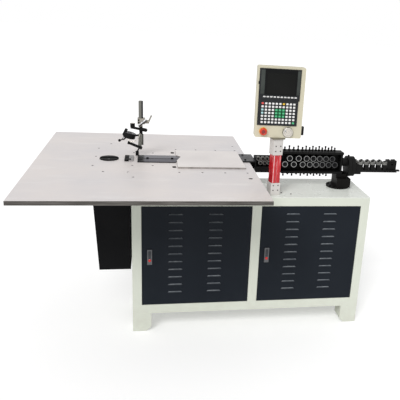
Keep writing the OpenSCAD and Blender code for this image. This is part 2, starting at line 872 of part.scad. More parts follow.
// Tapered sheet housing that hangs under the table
module head_housing() {
  w = sheet_t;
  taper = house_taper;
  lip = 15;
  color(black) difference() {
    union() {
      difference() {
        translate([0, house_y0, 0]) along_y(house_d)
          polygon([[house_x0, table_z0], [house_x0 + taper, house_z0],
            [house_x1, house_z0], [house_x1, table_z0]]);
        translate([0, house_y0 + w, 0]) along_y(house_d - 2 * w)
          polygon([[house_x0 + w, table_z0 + 1], [house_x0 + w, table_z0],
            [house_x0 + taper + w, house_z0 + w], [house_x1 - w, house_z0 + w],
            [house_x1 - w, table_z0 + 1]]);
      }
      span([house_x0 + 1, house_y0 + 1, table_z0 - w],
        [house_x1 - 1, house_y0 + house_d - 1, table_z0]);
    }
    span([house_x0 + lip, house_y0 + lip, table_z0 - 2 * w],
      [house_x1 - w, house_y0 + house_d - lip, table_z0 + 1]);
  }
}

// Spindle bearing, reducer and motor of the bending head, and the cutter's cylinder
cyl_d = 50;
cyl_h = 82;
bend_z = table_z0 - bearing_l;
module bend_drive() {
  cx = cut_x0 + cutter_l / 2;
  cz = table_z0 - blade_foot - cutter_travel - 7;
  color(blued) {
    difference() {
      union() {
        translate([turret_x, wire_y, bend_z]) cylinder(r = bearing_r, h = bearing_l);
        translate([turret_x, wire_y, bend_z - reducer_l / 2])
          cube([motor_w - 8, motor_w - 8, reducer_l + e], center = true);
        span([turret_x, wire_y - 15, cz - cyl_h + 10], [cut_x0 + 2, wire_y + 15, cz - 20]);
      }
      translate([turret_x, wire_y, bend_z + 1])
        cylinder(r = spindle_r + fit, h = bearing_l + 1);
    }
    translate([turret_x - motor_w / 2, wire_y - motor_w / 2,
        bend_z - reducer_l - motor_l - seam])
      cube([motor_w, motor_w, motor_l]);
    translate([turret_x, wire_y, bend_z - reducer_l - motor_l - 40 - seam])
      cylinder(r = motor_w * 0.38, h = 40 + e);
    difference() {
      span([cut_x0 + 2 + seam, wire_y - cyl_d / 2, cz - cyl_h],
        [cut_x0 + cutter_l - 2, wire_y + cyl_d / 2, cz]);
      translate([cx, wire_y, cz - cyl_h + 12]) cylinder(r = rod_r + fit, h = cyl_h);
    }
  }
}

// Turret: two raised halves with the wire slot between them, and its shaft
disc_z = table_z0 + 2;
bar_z = table_z + 0.4 - bar_t;
module turret() {
  color(black) difference() {
    translate([turret_x, wire_y, 0]) {
      translate([0, 0, disc_z]) cylinder(r = turret_r, h = table_z + turret_up - disc_z);
      translate([0, 0, disc_z - spindle_l]) cylinder(r = spindle_r, h = spindle_l + 1);
    }
    span([turret_x - 2 * turret_r, wire_y - slot_bar / 2, bar_z],
      [turret_x + 2 * turret_r, wire_y + slot_bar / 2, table_z + 2 * turret_up]);
    translate([turret_x, wire_y - pin_at, disc_z - 1])
      cylinder(r = pin_r + fit, h = table_t + 2 * turret_up);
  }
  color(bright) translate([turret_x, wire_y, bar_z + seam]) difference() {
    intersection() {
      translate([-turret_r, -slot_bar / 2 + fit, 0])
        cube([2 * turret_r, slot_bar - 2 * fit, bar_t]);
      cylinder(r = turret_r - 0.5, h = bar_t);
    }
    translate([0, 0, bar_t - 1.5]) cylinder(r = 5, h = 2);
  }
}
module bend_pin() {
  color(bright) translate([turret_x, wire_y - pin_at, table_z + turret_up - 1 - pin_l])
    cylinder(r = pin_r, h = pin_l);
}

// Feed gearbox on the cabinet with rails for the pinch slide, and the motor below
gear_z1 = table_z0 - gear_gap;
pinch_w = 60;
pinch_d = 64;
pinch_h = 20;
rail_w = 10;
module feed_drive() {
  color(blued) {
    difference() {
      union() {
        span([feed_x - gear_l / 2, wire_y - gear_d / 2, cab_h],
          [feed_x + gear_l / 2, wire_y + gear_d / 2, gear_z1]);
        for (s = [-1, 1])
          translate([feed_x + s * (pinch_w / 2 + fit + rail_w / 2), wire_y + feed_off,
              gear_z1 + 7])
            cube([rail_w, 82, 14 + e], center = true);
      }
      translate([feed_x, wire_y - feed_off, gear_z1 - 60])
        cylinder(r = feed_shaft_r + fit, h = 61);
    }
    translate([feed_x, motor_y, cab_h - neck_h]) cylinder(r = neck_r, h = neck_h + e);
    translate([feed_x - feed_motor_w / 2, motor_y - feed_motor_w / 2,
        cab_h - neck_h - feed_motor_l - seam])
      cube([feed_motor_w, feed_motor_w, feed_motor_l]);
  }
}

// Feed rollers with a groove near the top edge, on upright shafts
module feed_roller(l) {
  z1 = roller_top_z - wire_z;
  translate([0, 0, wire_z]) rotate_extrude() polygon([[0, z1], [feed_r - 3, z1],
    [feed_r - 3, z1], [feed_r, z1 - 0.6], [feed_r, 1.5], [feed_r - 1.5, 0], [feed_r, -1.5],
    [feed_r, z1 - feed_t], [feed_shaft_r, z1 - feed_t], [feed_shaft_r, z1 - feed_t - l],
    [0, z1 - feed_t - l]]);
}
shaft_a = roller_top_z - feed_t - gear_z1 + 50;
shaft_b = roller_top_z - feed_t - gear_z1 - 2;
module drive_roller() {
  color(bright) translate([feed_x, wire_y - feed_off, 0]) feed_roller(shaft_a);
}
module pinch_roller() {
  color(bright) translate([feed_x, wire_y + feed_off, 0]) feed_roller(shaft_b);
}
module pinch_slide() {
  color(steel) difference() {
    translate([feed_x - pinch_w / 2, wire_y + feed_off - pinch_d / 2, gear_z1 + fit])
      cube([pinch_w, pinch_d, pinch_h]);
    translate([feed_x, wire_y + feed_off, gear_z1 + 1])
      cylinder(r = feed_shaft_r + fit, h = pinch_h + 2);
  }
}

// Mounting plate with the drives and supplies inside the right bay
unit_boxes = [[0.06, 0.52, 0.125, 0.40, 0.25], [0.22, 0.52, 0.125, 0.40, 0.25],
  [0.38, 0.52, 0.125, 0.40, 0.25], [0.60, 0.56, 0.31, 0.31, 0.21], [0.06, 0.08, 0.33, 0.25, 0.19],
  [0.47, 0.12, 0.094, 0.17, 0.156], [0.58, 0.12, 0.094, 0.17, 0.156],
  [0.70, 0.12, 0.094, 0.17, 0.156], [0.81, 0.12, 0.094, 0.17, 0.156]];
module control_panel() {
  pw = (open_x1(1) - open_x0(1)) / 1.2;
  ph = open_z1 - open_z0 - 2 * riser_wall - pw / 5;
  pz = foot_h + tray_rim + pw / 8;
  px = (open_x0(1) + open_x1(1) - pw) / 2;
  post = pw / 22;
  py = yb - sheet_t - post;
  pf = py - panel_t - seam;
  color(bright) {
    span([px, py - panel_t, pz], [px + pw, py, pz + ph]);
    for (sx = [1, -1], sz = [1, -1])
      translate([px + pw / 2 + sx * pw * 0.44, py - e, pz + ph / 2 + sz * ph * 0.44])
        rod_y(post / 3, post + e);
  }
  color(black) for (b = unit_boxes)
    span([px + b[0] * pw, pf - b[4] * pw, pz + b[1] * ph],
      [px + (b[0] + b[2]) * pw, pf, pz + (b[1] + b[3]) * ph]);
}

// Square pole with the swivel flange and pin
module pendant_pole() {
  color(cream) on_pole() difference() {
    translate([-pole_w / 2, -pole_w / 2, cab_h]) cube([pole_w, pole_w, pole_h]);
    translate([-pole_w / 2 + pole_wall, -pole_w / 2 + pole_wall, cab_h - 1])
      cube([pole_w - 2 * pole_wall, pole_w - 2 * pole_wall, pole_h + 2]);
  }
  color(black) on_pole() {
    translate([-flange_w / 2, -flange_w / 2, pole_z1]) cube([flange_w, flange_w, flange_t]);
    translate([0, 0, pole_z1 + flange_t - e]) cylinder(r = swivel_r, h = 16);
  }
}
module pole_sleeves() {
  hole = pole_w + 2 * fit;
  color(cream) on_pole() for (z = [[cab_h, sleeve_low], [pole_z1 - sleeve_up, sleeve_up]])
    difference() {
      translate([-sleeve_w / 2, -sleeve_w / 2, z[0]]) cube([sleeve_w, sleeve_w, z[1]]);
      translate([-hole / 2, -hole / 2, z[0] - 1]) cube([hole, hole, z[1] + 2]);
    }
}

// Hollow column on a wide base that carries the straightener, open at the top
module straightener_column() {
  w = col_wall;
  z0 = cab_h + col_foot_t;
  color(black) difference() {
    union() {
      translate([foot_x, foot_y, cab_h]) cylinder(r = col_foot_r, h = col_foot_t);
      span([col_x0, col_y0, z0 - e], [col_x1, col_y1, chan_z0]);
      span([col_x0, col_y0 - base_fwd, z0 - e], [col_x0 + base_w, col_y1, base_z1]);
    }
    span([col_x0 + w, col_y0 + w, z0], [col_x1 - w, col_y1 - w, chan_z0 + 1]);
    span([col_x0 + w, col_y0 - base_fwd + w, z0], [col_x0 + base_w - w, col_y1 - w, base_z1 - w]);
  }
}

// Roller channel: back, top and bottom plates and two end plates
module channel() {
  hole = bolt_r + fit;
  color(black) difference() {
    union() {
      along_x_at(chan_x0, chan_l) polygon([[chan_y0, chan_z0], [chan_y1, chan_z0],
        [chan_y1, chan_z1], [chan_y0, chan_z1], [chan_y0, chan_z1 - chan_t],
        [chan_y1 - chan_t, chan_z1 - chan_t], [chan_y1 - chan_t, chan_z0 + chan_t],
        [chan_y0, chan_z0 + chan_t]]);
      span([chan_x1 - chan_t, chan_y0 + 12, chan_z0 + 1], [chan_x1, chan_y1 - 1, chan_z1 - 1]);
    }
    for (k = [0 : low_n - 1]) translate([low_x(k), axle_y, chan_z0 - 1])
      cylinder(r = hole, h = chan_h + 2);
    for (k = [0 : top_n - 1]) translate([top_x(k), axle_y, chan_z0 - 1])
      cylinder(r = hole, h = chan_h + 2);
    translate([chan_x1 - 2 * chan_t, wire_y, wire_z]) rod_x(8, 3 * chan_t);
  }
}
module along_x_at(x, l) {
  translate([x, 0, 0]) along_x(l) children();
}
axle_y = block_y + (chan_y1 - chan_t - block_y) / 2;

// Slide blocks with their fixed axles and heads, one per roller
module slide_block(x, s) {
  zc = wire_z + s * row_off;
  translate([x, 0, zc]) {
    span([-block_w / 2, block_y, s > 0 ? -block_in : -block_up],
      [block_w / 2, chan_y1 - chan_t, s > 0 ? block_up : block_in]);
    translate([0, wire_y + roll_t / 2 - dish_d + fit, 0]) rod_y(dish_r - 3, 3 + dish_d);
    translate([0, wire_y - roll_t / 2, 0]) rod_y(axle_r, roll_t + 4);
    translate([0, wire_y - roll_t / 2 + dish_d - fit - head_t, 0])
      rotate([-90, 0, 0]) hex(head_r, head_t);
  }
}
module slide_blocks() {
  color(black) {
    for (k = [0 : top_n - 1]) slide_block(top_x(k), 1);
    for (k = [0 : low_n - 1]) slide_block(low_x(k), -1);
  }
}

// Adjusting bolts with their lock nuts, through the channel's top and bottom
module adjuster(l, out) {
  cylinder(r = bolt_r, h = l);
  translate([0, 0, l - out]) hex(nut_r, nut_h);
  translate([0, 0, l - bolt_head_h]) cylinder(r = bolt_head_r, h = bolt_head_h);
}
module adjusting_bolts() {
  block_z = wire_z + row_off + block_up;
  under_z = wire_z - row_off - block_up;
  all_x = [for (k = [0 : low_n - 1]) low_x(k), for (k = [0 : top_n - 1]) top_x(k)];
  color(black) {
    for (k = [0 : top_n - 1]) translate([top_x(k), axle_y, block_z])
      adjuster(chan_z1 - block_z + bolt_tall, bolt_tall);
    for (k = [0 : low_n - 1]) translate([low_x(k), axle_y, chan_z1 - chan_t])
      adjuster(chan_t + bolt_short, bolt_short);
    for (k = [0 : low_n - 1 - hidden_bolts]) translate([low_x(k), axle_y, under_z])
      mirror([0, 0, 1]) adjuster(under_z - chan_z0 + bolt_tall, bolt_tall);
    for (k = [0 : top_n - 1 - hidden_bolts]) translate([top_x(k), axle_y, chan_z0 + chan_t])
      mirror([0, 0, 1]) adjuster(chan_t + bolt_short, bolt_short);
  }
}

// Grooved straightening roller about an axle along Y
module vee_roller(r, t, bore) {
  rotate([90, 0, 0]) rotate_extrude() polygon([[bore, -t / 2 + dish_d],
    [dish_r, -t / 2 + dish_d], [dish_r, -t / 2], [r - 1, -t / 2], [r, -t / 2 + 1],
    [r, -vee_w], [r - vee_d, 0], [r, vee_w], [r, t / 2 - 1], [r - 1, t / 2],
    [dish_r, t / 2], [dish_r, t / 2 - dish_d], [bore, t / 2 - dish_d]]);
}
module roller_top(k) {
  color(bright) translate([top_x(k - 1), wire_y, wire_z + row_off])
    vee_roller(roll_r, roll_t, axle_r + fit);
}
module roller_low(k) {
  color(bright) translate([low_x(k - 1), wire_y, wire_z - row_off])
    vee_roller(roll_r, roll_t, axle_r + fit);
}

// Tube with its clamping discs, entry bar with axle blocks, and end eyelet
function entry_row_x(s, k) = entry_x + (k + (s > 0 ? 0 : 0.5)) * entry_pitch;
entry_axle = 5;
module entry_discs() {
  dz = wire_z - disc_drop;
  difference() {
    union() {
      translate([chan_x1, wire_y, wire_z]) rod_x(24, disc_x - chan_x1 + 1);
      translate([disc_x, wire_y, dz]) rod_x(disc_r, disc_a);
      translate([disc_x + disc_a - e, wire_y, dz]) rod_x(disc_r * 0.5, disc_gap + 2 * e);
      translate([disc_x2, wire_y, dz]) rod_x(disc_r * 0.97, disc_b);
      translate([disc_x + disc_a / 2, wire_y, dz + disc_r - 1]) cylinder(r = 5, h = 8);
    }
    translate([chan_x1 - 1, wire_y, wire_z]) rod_x(6, bar_x0 - chan_x1 + 2);
  }
}
module entry_bar() {
  by = bar_w / 2;
  block_z = wire_z - entry_t / 2 - fit;
  span([bar_x0 + seam, wire_y - by, bar_z0 - 13], [bar_x0 + 42, wire_y + by, block_z]);
  span([bar_x0 + 41, wire_y - by, bar_z0], [tip_x - tongue_l, wire_y + by, bar_z1]);
  span([tip_x - tongue_l - 1, wire_y - 10, bar_z0], [tip_x, wire_y + 10, bar_z0 + 8]);
  for (s = [-1, 1], k = [0 : entry_n - 1])
    translate([entry_row_x(s, k), wire_y + s * entry_off, 0]) {
      translate([0, s * 3, (bar_z1 + block_z) / 2 - 1])
        cube([22, 24, block_z - bar_z1 + 2], center = true);
      translate([0, 0, bar_z1]) cylinder(r = entry_axle, h = bar_drop + entry_t / 2 + 2);
      translate([0, 0, wire_z + entry_t / 2 + fit]) hex(8, 5);
    }
  for (x = [10, eyelet_l - 10]) translate([eyelet_x0 + x, wire_y, bar_z0 - 8])
    cylinder(r = 6, h = 9);
}
module eyelet() {
  difference() {
    span([eyelet_x0, wire_y - 22, bar_z1 + seam], [eyelet_x0 + eyelet_l, wire_y + 22,
      wire_z + 16]);
    translate([eyelet_x0 - 1, wire_y, wire_z]) rod_x(5, eyelet_l + 2);
    span([eyelet_x0 + eyelet_l / 2 - 6, wire_y - 30, wire_z - 12],
      [eyelet_x0 + eyelet_l / 2 + 6, wire_y + 30, wire_z + 30]);
  }
  for (x = [10, eyelet_l - 10]) translate([eyelet_x0 + x, wire_y, wire_z + 15])
    cylinder(r = 5, h = 6);
}
module entry_unit() {
  color(black) {
    entry_discs();
    entry_bar();
    eyelet();
  }
}

// Bracket and roller box between the table and the straightener
function exit_x(s, k) = exit_x0 + exit_first + (k + (s > 0 ? 0 : 0.5)) * exit_pitch;
module exit_unit() {
  y1 = exit_y0 + exit_d;
  z1 = exit_z0 + exit_h;
  color(black) {
    difference() {
      union() {
        span([plate_x0, wire_y - 39, table_z],
          [exit_x0 + 1, wire_y - 39 + exit_plate_d, table_z + exit_plate_t]);
        translate([0, wire_y + 14, 0]) along_y(14)
          polygon([[table_x1 + 2, table_z + 1], [exit_x0 + 1, table_z + 1],
            [exit_x0 + 1, exit_z0], [table_x1 + 16, table_z - 30]]);
        along_x_at(exit_x0, exit_x1 - exit_x0)
          polygon([[exit_y0, exit_z0], [y1, exit_z0], [y1, z1], [y1 - exit_t, z1],
            [y1 - exit_t, exit_z0 + exit_t], [exit_y0, exit_z0 + exit_t]]);
        span([exit_x0, exit_y0 + 1, exit_z0 + 1], [exit_x0 + exit_t, y1 - 1, z1 - 1]);
        span([exit_x0, exit_y0 - 3, exit_z0], [exit_x1 - 10, exit_y0 + e, exit_z0 + 34]);
        for (s = [-1, 1], k = [0 : (s > 0 ? exit_top_n : exit_low_n) - 1])
          translate([exit_x(s, k), 0, wire_z + s * exit_off]) {
            translate([0, wire_y + exit_rt / 2 + fit, 0])
              rod_y(8, y1 - exit_t - wire_y - exit_rt / 2);
            translate([0, wire_y - exit_rt / 2 - 1, 0]) rod_y(4, exit_rt + 3);
            translate([0, wire_y - exit_rt / 2 - fit - 4, 0]) rod_y(7, 4);
          }
      }
      span([plate_x0 - 1, wire_y - groove_w, table_z - 1],
        [exit_x0 + exit_t + 1, wire_y + groove_w, wire_z + wire_r + 1.5]);
    }
    translate([exit_x0 + 37, exit_y0 - 6, exit_z0 + 20]) rod_y(8, 3);
  }
}

// Rollers of the entry and exit units, each held on its own axle
module plain_roller(r, t, bore, g) {
  rotate_extrude() polygon([[bore, -t / 2], [r, -t / 2], [r, -g], [r - g + 0.5, 0],
    [r, g], [r, t / 2], [bore, t / 2]]);
}
module guide_rollers() {
  color(bright) {
    for (s = [-1, 1], k = [0 : entry_n - 1])
      translate([entry_row_x(s, k), wire_y + s * entry_off, wire_z])
        plain_roller(entry_r, entry_t, entry_axle + fit, vee_d);
    for (s = [-1, 1], k = [0 : (s > 0 ? exit_top_n : exit_low_n) - 1])
      translate([exit_x(s, k), wire_y, wire_z + s * exit_off]) rotate([90, 0, 0])
        plain_roller(exit_r, exit_rt, 4 + fit, 2);
  }
}

// Doors: folded sheet with pressed louvres, hinge blocks and the fixed lock body
module hood(w, out, h, wall, back) {
  along_x_at(-w / 2 + wall, w - 2 * wall)
    polygon([[back, h - 1.5 * wall], [0, h - 1.5 * wall], [-out + wall, wall / 2],
      [-out + wall, -2 * wall], [0, -2 * wall], [0, 0], [back, 0]]);
}
module at_louvres(i) {
  for (c = [louvre_a, louvre_b], k = [0 : louvre_n - 1])
    translate([door_x0(i) + c, yf, door_z1 - louvre_top - k * louvre_pitch]) children();
}
module door(i) {
  bx = hinge_x(i);
  color(slate) difference() {
    union() {
      difference() {
        span([door_x0(i), yf, door_z0], [door_x1(i), yf + door_t, door_z1]);
        span([door_x0(i) + door_sheet, yf + door_sheet, door_z0 + door_sheet],
          [door_x1(i) - door_sheet, yf + door_t + 1, door_z1 - door_sheet]);
      }
      at_louvres(i) along_x_at(-louvre_w / 2, louvre_w)
        polygon([[0, louvre_h], [-louvre_out, 0], [-louvre_out, -louvre_wall],
          [0, -louvre_wall]]);
      for (z = [door_z0, door_z1 - hinge_len - 3])
        span([door_x1(i) - hinge_block, yf + e, z],
          [door_x1(i), yf + door_t, z + hinge_len + 3]);
    }
    at_louvres(i) hood(louvre_w, louvre_out, louvre_h, louvre_wall, door_sheet + 1);
    for (z = [door_z0 - 1, door_z1 - hinge_len - 1])
      translate([bx, hinge_y, z]) cylinder(r = hinge_r + fit, h = hinge_len + 2);
    span([lock_x(i) - lock_w / 2 + lock_lip - fit, yf - 1, lock_z - lock_h / 2 + lock_lip - fit],
      [lock_x(i) + lock_w / 2 - lock_lip + fit, yf + door_sheet + 1,
        lock_z + lock_h / 2 - lock_lip + fit]);
  }
  color(bright) lock_body(i);
}
module lock_body(i) {
  x = lock_x(i);
  w = lock_w / 2;
  h = lock_h / 2;
  difference() {
    union() {
      span([x - w, yf - lock_out, lock_z - h], [x + w, yf - seam, lock_z + h]);
      span([x - w + lock_lip, yf - 1, lock_z - h + lock_lip],
        [x + w - lock_lip, yf + lock_back, lock_z + h - lock_lip]);
      translate([x, yf + lock_back - e, grip_z]) rod_y(cam_r, 6);
      span([x - 5, yf + lock_back + 5, grip_z - 34], [x + 5, yf + lock_back + 5 + cam_t,
        grip_z + 8]);
    }
    difference() {
      span([x - grip_w / 2 - fit, yf - lock_out - 1, grip_z - grip_l - 2],
        [x + grip_w / 2 + fit, grip_y + grip_t / 2 + fit, grip_z + grip_t / 2 + fit]);
      translate([x - w, grip_y, grip_z]) rod_x(1.5, 2 * w);
    }
    translate([x, yf - lock_out - 1, knob_z])
      rod_y(knob_r + fit, lock_out + 1 + lock_back - 3);
  }
}
module lock_handle(i) {
  color(blued) translate([lock_x(i) - grip_w / 2, grip_y, grip_z]) difference() {
    union() {
      rod_x(grip_t / 2, grip_w);
      span([0, -grip_t / 2, -grip_l], [grip_w, grip_t / 2, 0]);
    }
    translate([-1, 0, 0]) rod_x(1.5 + fit, grip_w + 2);
  }
}
module lock_button(i) {
  color("red") translate([lock_x(i), yf - lock_out - 2, knob_z])
    rod_y(knob_r, lock_out + 2 + lock_back - 3 - knob_travel - 1);
}

// Pendant: hollow case with a front opening behind the control panel
module pendant_case() {
  w = case_wall;
  color(beige) on_case() difference() {
    translate([0, case_y0, (case_z0 + case_z1) / 2]) along_y(case_d)
      round_rect(case_w, case_h, case_r);
    translate([0, case_y0 + w, (case_z0 + case_z1) / 2]) along_y(case_d - 2 * w)
      round_rect(case_w - 2 * w, case_h - 2 * w, case_r - w);
    span([panel_x - panel_w / 2 + 12, case_y0 - 1, panel_z0 + 8],
      [panel_x + panel_w / 2 - 12, case_y0 + w + 1, panel_z1 - 8]);
    translate([0, 0, case_z0 - 1]) cylinder(r = swivel_r + fit, h = w + 2);
    translate([-stop_at, case_y0 - 1, knobs_z]) rod_y(stop_stem + fit, w + 2);
    translate([wheel_at, case_y0 - 1, knobs_z]) rod_y(6 + fit, w + 2);
  }
}
// Dark control panel with the screen's recess, the stop's collar and the side box
module pendant_panel() {
  color(black) on_case() {
    difference() {
      translate([panel_x, case_y0 - panel_t, 0]) along_y(panel_t)
        polygon([[-panel_w / 2, panel_z0], [panel_w / 2 - panel_step, panel_z0],
          [panel_w / 2 - panel_step, panel_mid], [panel_w / 2, panel_mid],
          [panel_w / 2, panel_z1], [-panel_w / 2, panel_z1]]);
      span([screen_x - screen_w / 2 - fit, case_y0 - panel_t - 1, screen_z - screen_h / 2 - fit],
        [screen_x + screen_w / 2 + fit, case_y0 - panel_t + screen_t,
          screen_z + screen_h / 2 + fit]);
    }
    span([case_w / 2, -13, case_z0 + 16], [case_w / 2 + 16, 13, case_z0 + 62]);
  }
  color("gold") on_case() difference() {
    translate([-stop_at, case_y0 - collar_t, knobs_z]) rod_y(stop_r + 2, collar_t);
    translate([-stop_at, case_y0 - collar_t - 1, knobs_z])
      rod_y(stop_stem + fit, collar_t + 2);
  }
}
module pendant_screen() {
  color("black") on_case()
    span([screen_x - screen_w / 2, case_y0 - panel_t, screen_z - screen_h / 2],
      [screen_x + screen_w / 2, case_y0 - panel_t + screen_t, screen_z + screen_h / 2]);
}
function key_color(r, c) = r == 0 && c == 0 ? "red" : r == 0 && c == 6 ? "gold" :
  (r > 1 && r < 5 && c > 3 && c < 7) || (r == 6 && c == 9) ? "green" : "white";
module pad(x, z, w, h) {
  span([x - w / 2, case_y0 - panel_t - key_t, z - h / 2], [x + w / 2, case_y0 - panel_t,
    z + h / 2]);
}
module pendant_keys() {
  on_case() {
    for (c = [0 : key_cols - 1])
      color("white") pad(soft_x + (c - (key_cols - 1) / 2) * (key_px - 0.25), soft_z, soft_w,
        soft_h);
    for (r = [0 : key_rows - 1], c = [0 : key_cols - 1])
      color(key_color(r, c)) pad(keys_x + (c - (key_cols - 1) / 2) * key_px,
        keys_z - r * key_py, key_w, key_h);
  }
}
module stop_button() {
  head_y = case_y0 - collar_t - stop_travel - fit;
  color("red") on_case() translate([-stop_at, 0, knobs_z]) {
    translate([0, head_y, 0]) rotate([90, 0, 0]) cylinder(r1 = stop_r, r2 = stop_r - 2, h = 13);
    translate([0, head_y - 1, 0]) rod_y(stop_stem, 26);
  }
}
module handwheel() {
  gap = 1;
  color(bright) on_case() translate([wheel_at, case_y0, knobs_z]) {
    rotate([90, 0, 0]) {
      translate([0, 0, gap - fit - 0.4]) cylinder(r = wheel_r - 2, h = 2);
      translate([0, 0, gap + 1]) cylinder(r = wheel_r, h = wheel_t - 2);
      translate([0, 0, gap + wheel_t - 2]) cylinder(r1 = wheel_r, r2 = wheel_r - 3, h = 3);
      translate([-wheel_r * 0.55, wheel_r * 0.3, gap + wheel_t]) cylinder(r = 4, h = 9);
      translate([0, 0, -20]) cylinder(r = 6, h = 22);
    }
  }
}

// Holder arm: foot with rod and eye, lower link, upper link with clamp, and square post
module on_arm() {
  translate([arm_x, arm_y, 0]) children();
}
module link(a, b, r) {
  d = b - a;
  translate(a) rotate([0, atan2(norm([d[0], d[1]]), d[2]), atan2(d[1], d[0])])
    cylinder(r = r, h = norm(d));
}
module tilted_bar(a, b, w, y0, y1) {
  d = [b[0] - a[0], b[1] - a[1]];
  l = norm(d);
  n = [-d[1] / l * w / 2, d[0] / l * w / 2];
  translate([0, y0, 0]) along_y(y1 - y0) polygon([a - n, b - n, b + n, a + n]);
}
module arm_foot() {
  color(blued) on_arm() difference() {
    union() {
      translate([0, 0, table_z]) cylinder(r = arm_foot_r, h = arm_foot_h);
      link([0, 0, table_z + arm_foot_h - 2], [low_dx, 0, piv_z], eye_t);
      translate([low_dx, -eye_t, piv_z]) rod_y(eye_out, 2 * eye_t);
    }
    translate([low_dx, -2 * eye_t, piv_z]) rod_y(3 + fit, 4 * eye_t);
  }
}
module cheeks(x, z, za, zb) {
  for (s = [-1, 1]) translate([0, s > 0 ? cheek_y : -cheek_y - cheek_t, 0]) {
    translate([x, 0, z]) rod_y(eye_out, cheek_t);
    span([x - eye_out, 0, za], [x + eye_out, cheek_t, zb]);
  }
  translate([x, -cheek_y - 1, z]) rod_y(3, 2 * cheek_y + 2);
}
handle_a = [-54, -12, piv_z + 70];
handle_d = [-36, -18, -34];
module arm_lower() {
  bar_y = -cheek_y - cheek_t;
  color(blued) on_arm() difference() {
    union() {
      cheeks(low_dx, piv_z, piv_z, piv_z + 30);
      span([7.5, -cheek_y - 1, piv_z + 12], [34.5, cheek_y + 1, up_z - 12]);
      span([up_dx - eye_out, -eye_t, up_z - 13], [up_dx + eye_out, eye_t, up_z]);
      translate([up_dx, -eye_t, up_z]) rod_y(eye_out, 2 * eye_t);
      tilted_bar([-48, piv_z + 27], [24, piv_z - 4], 12, bar_y - 10, bar_y + 1);
      translate([-40, -4, piv_z + 59]) cylinder(r = drum_r, h = 30);
      tilted_bar([-28.5, piv_z + 60], [12, piv_z + 66], 10, -6, 5);
      translate([-72, -10, piv_z + 50]) cylinder(r = 7, h = 58);
      link(handle_a, handle_a + handle_d, 5);
      link(handle_a + 0.98 * handle_d, handle_a + 1.28 * handle_d, 9);
    }
    translate([up_dx, -2 * eye_t, up_z]) rod_y(3 + fit, 4 * eye_t);
  }
}
module arm_upper() {
  hole = post_w + 2 * fit;
  color(bright) on_arm() difference() {
    union() {
      cheeks(up_dx, up_z, up_z, up_z + 30);
      span([up_dx - eye_out, -cheek_y - 1, up_z + 12], [up_dx + eye_out, cheek_y + 1,
        clamp_z + 1]);
      tilted_bar([-34, up_z + 27], [56, up_z + 11], 12, -cheek_y - cheek_t - 10,
        -cheek_y - cheek_t + 1);
      translate([-23, -cheek_y - cheek_t - 5, up_z + 28]) cylinder(r = 12, h = 22);
      span([up_dx - 18, -18, clamp_z], [up_dx + 22, 18, clamp_z + clamp_h]);
      link([up_dx - 14, -22, clamp_z - 8], [up_dx + 30, -22, clamp_z + 27], 7.5);
      translate([up_dx + 20, 0, clamp_z + 12]) rod_x(10, 24);
      link([up_dx + 42, 0, clamp_z + 12], [up_dx + 57, 0, clamp_z + 48], 4);
    }
    translate([up_dx, 0, clamp_z + 4]) rotate([0, 0, post_turn]) translate([-hole / 2, -hole / 2, 0])
      cube([hole, hole, clamp_h]);
  }
}
module arm_post() {
  color(black) on_arm() translate([up_dx, 0, clamp_z + 4 + fit]) rotate([0, 0, post_turn])
    translate([-post_w / 2, -post_w / 2, 0]) cube([post_w, post_w, post_l]);
}

front_frame();
cabinet_shell();
floor_tray();
cabinet_top();
table_riser();
table_plate();
screws();
feed_cover();
wire_guide();
cutter_block();
head_housing();
bend_drive();
feed_drive();
control_panel();
pendant_pole();
pole_sleeves();
straightener_column();
channel();
slide_blocks();
adjusting_bolts();
entry_unit();
exit_unit();
guide_rollers();
arm_foot();
door(0);  // door_left
door(1);  // door_right
lock_handle(0);  // lock_handle_left
lock_handle(1);  // lock_handle_right
lock_button(0);  // lock_button_left
lock_button(1);  // lock_button_right
pendant_case();
pendant_panel();
pendant_screen();
pendant_keys();
stop_button();
handwheel();
turret();
bend_pin();
cutter_blade();
drive_roller();
pinch_slide();
pinch_roller();
arm_lower();
arm_upper();
arm_post();
roller_top(1);  // roller_top_1
roller_top(2);  // roller_top_2
roller_top(3);  // roller_top_3
roller_top(4);  // roller_top_4
roller_top(5);  // roller_top_5
roller_top(6);  // roller_top_6
roller_top(7);  // roller_top_7
roller_low(1);  // roller_low_1
roller_low(2);  // roller_low_2
roller_low(3);  // roller_low_3
roller_low(4);  // roller_low_4
roller_low(5);  // roller_low_5
roller_low(6);  // roller_low_6
roller_low(7);  // roller_low_7
roller_low(8);  // roller_low_8
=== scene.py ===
# %% [markdown]
# # A wire forming machine, finished in Blender
# The machine bends wire on a flat steel table. Its solids come packed from the CAD source, so
# this lesson only adds what a drawing leaves out: paint, ground steel, rounded edges, louvres,
# keys, threads and knurls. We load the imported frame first, because every later piece takes its
# place from it. Lengths are written in millimetres and made metres in one place.

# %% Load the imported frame
import math

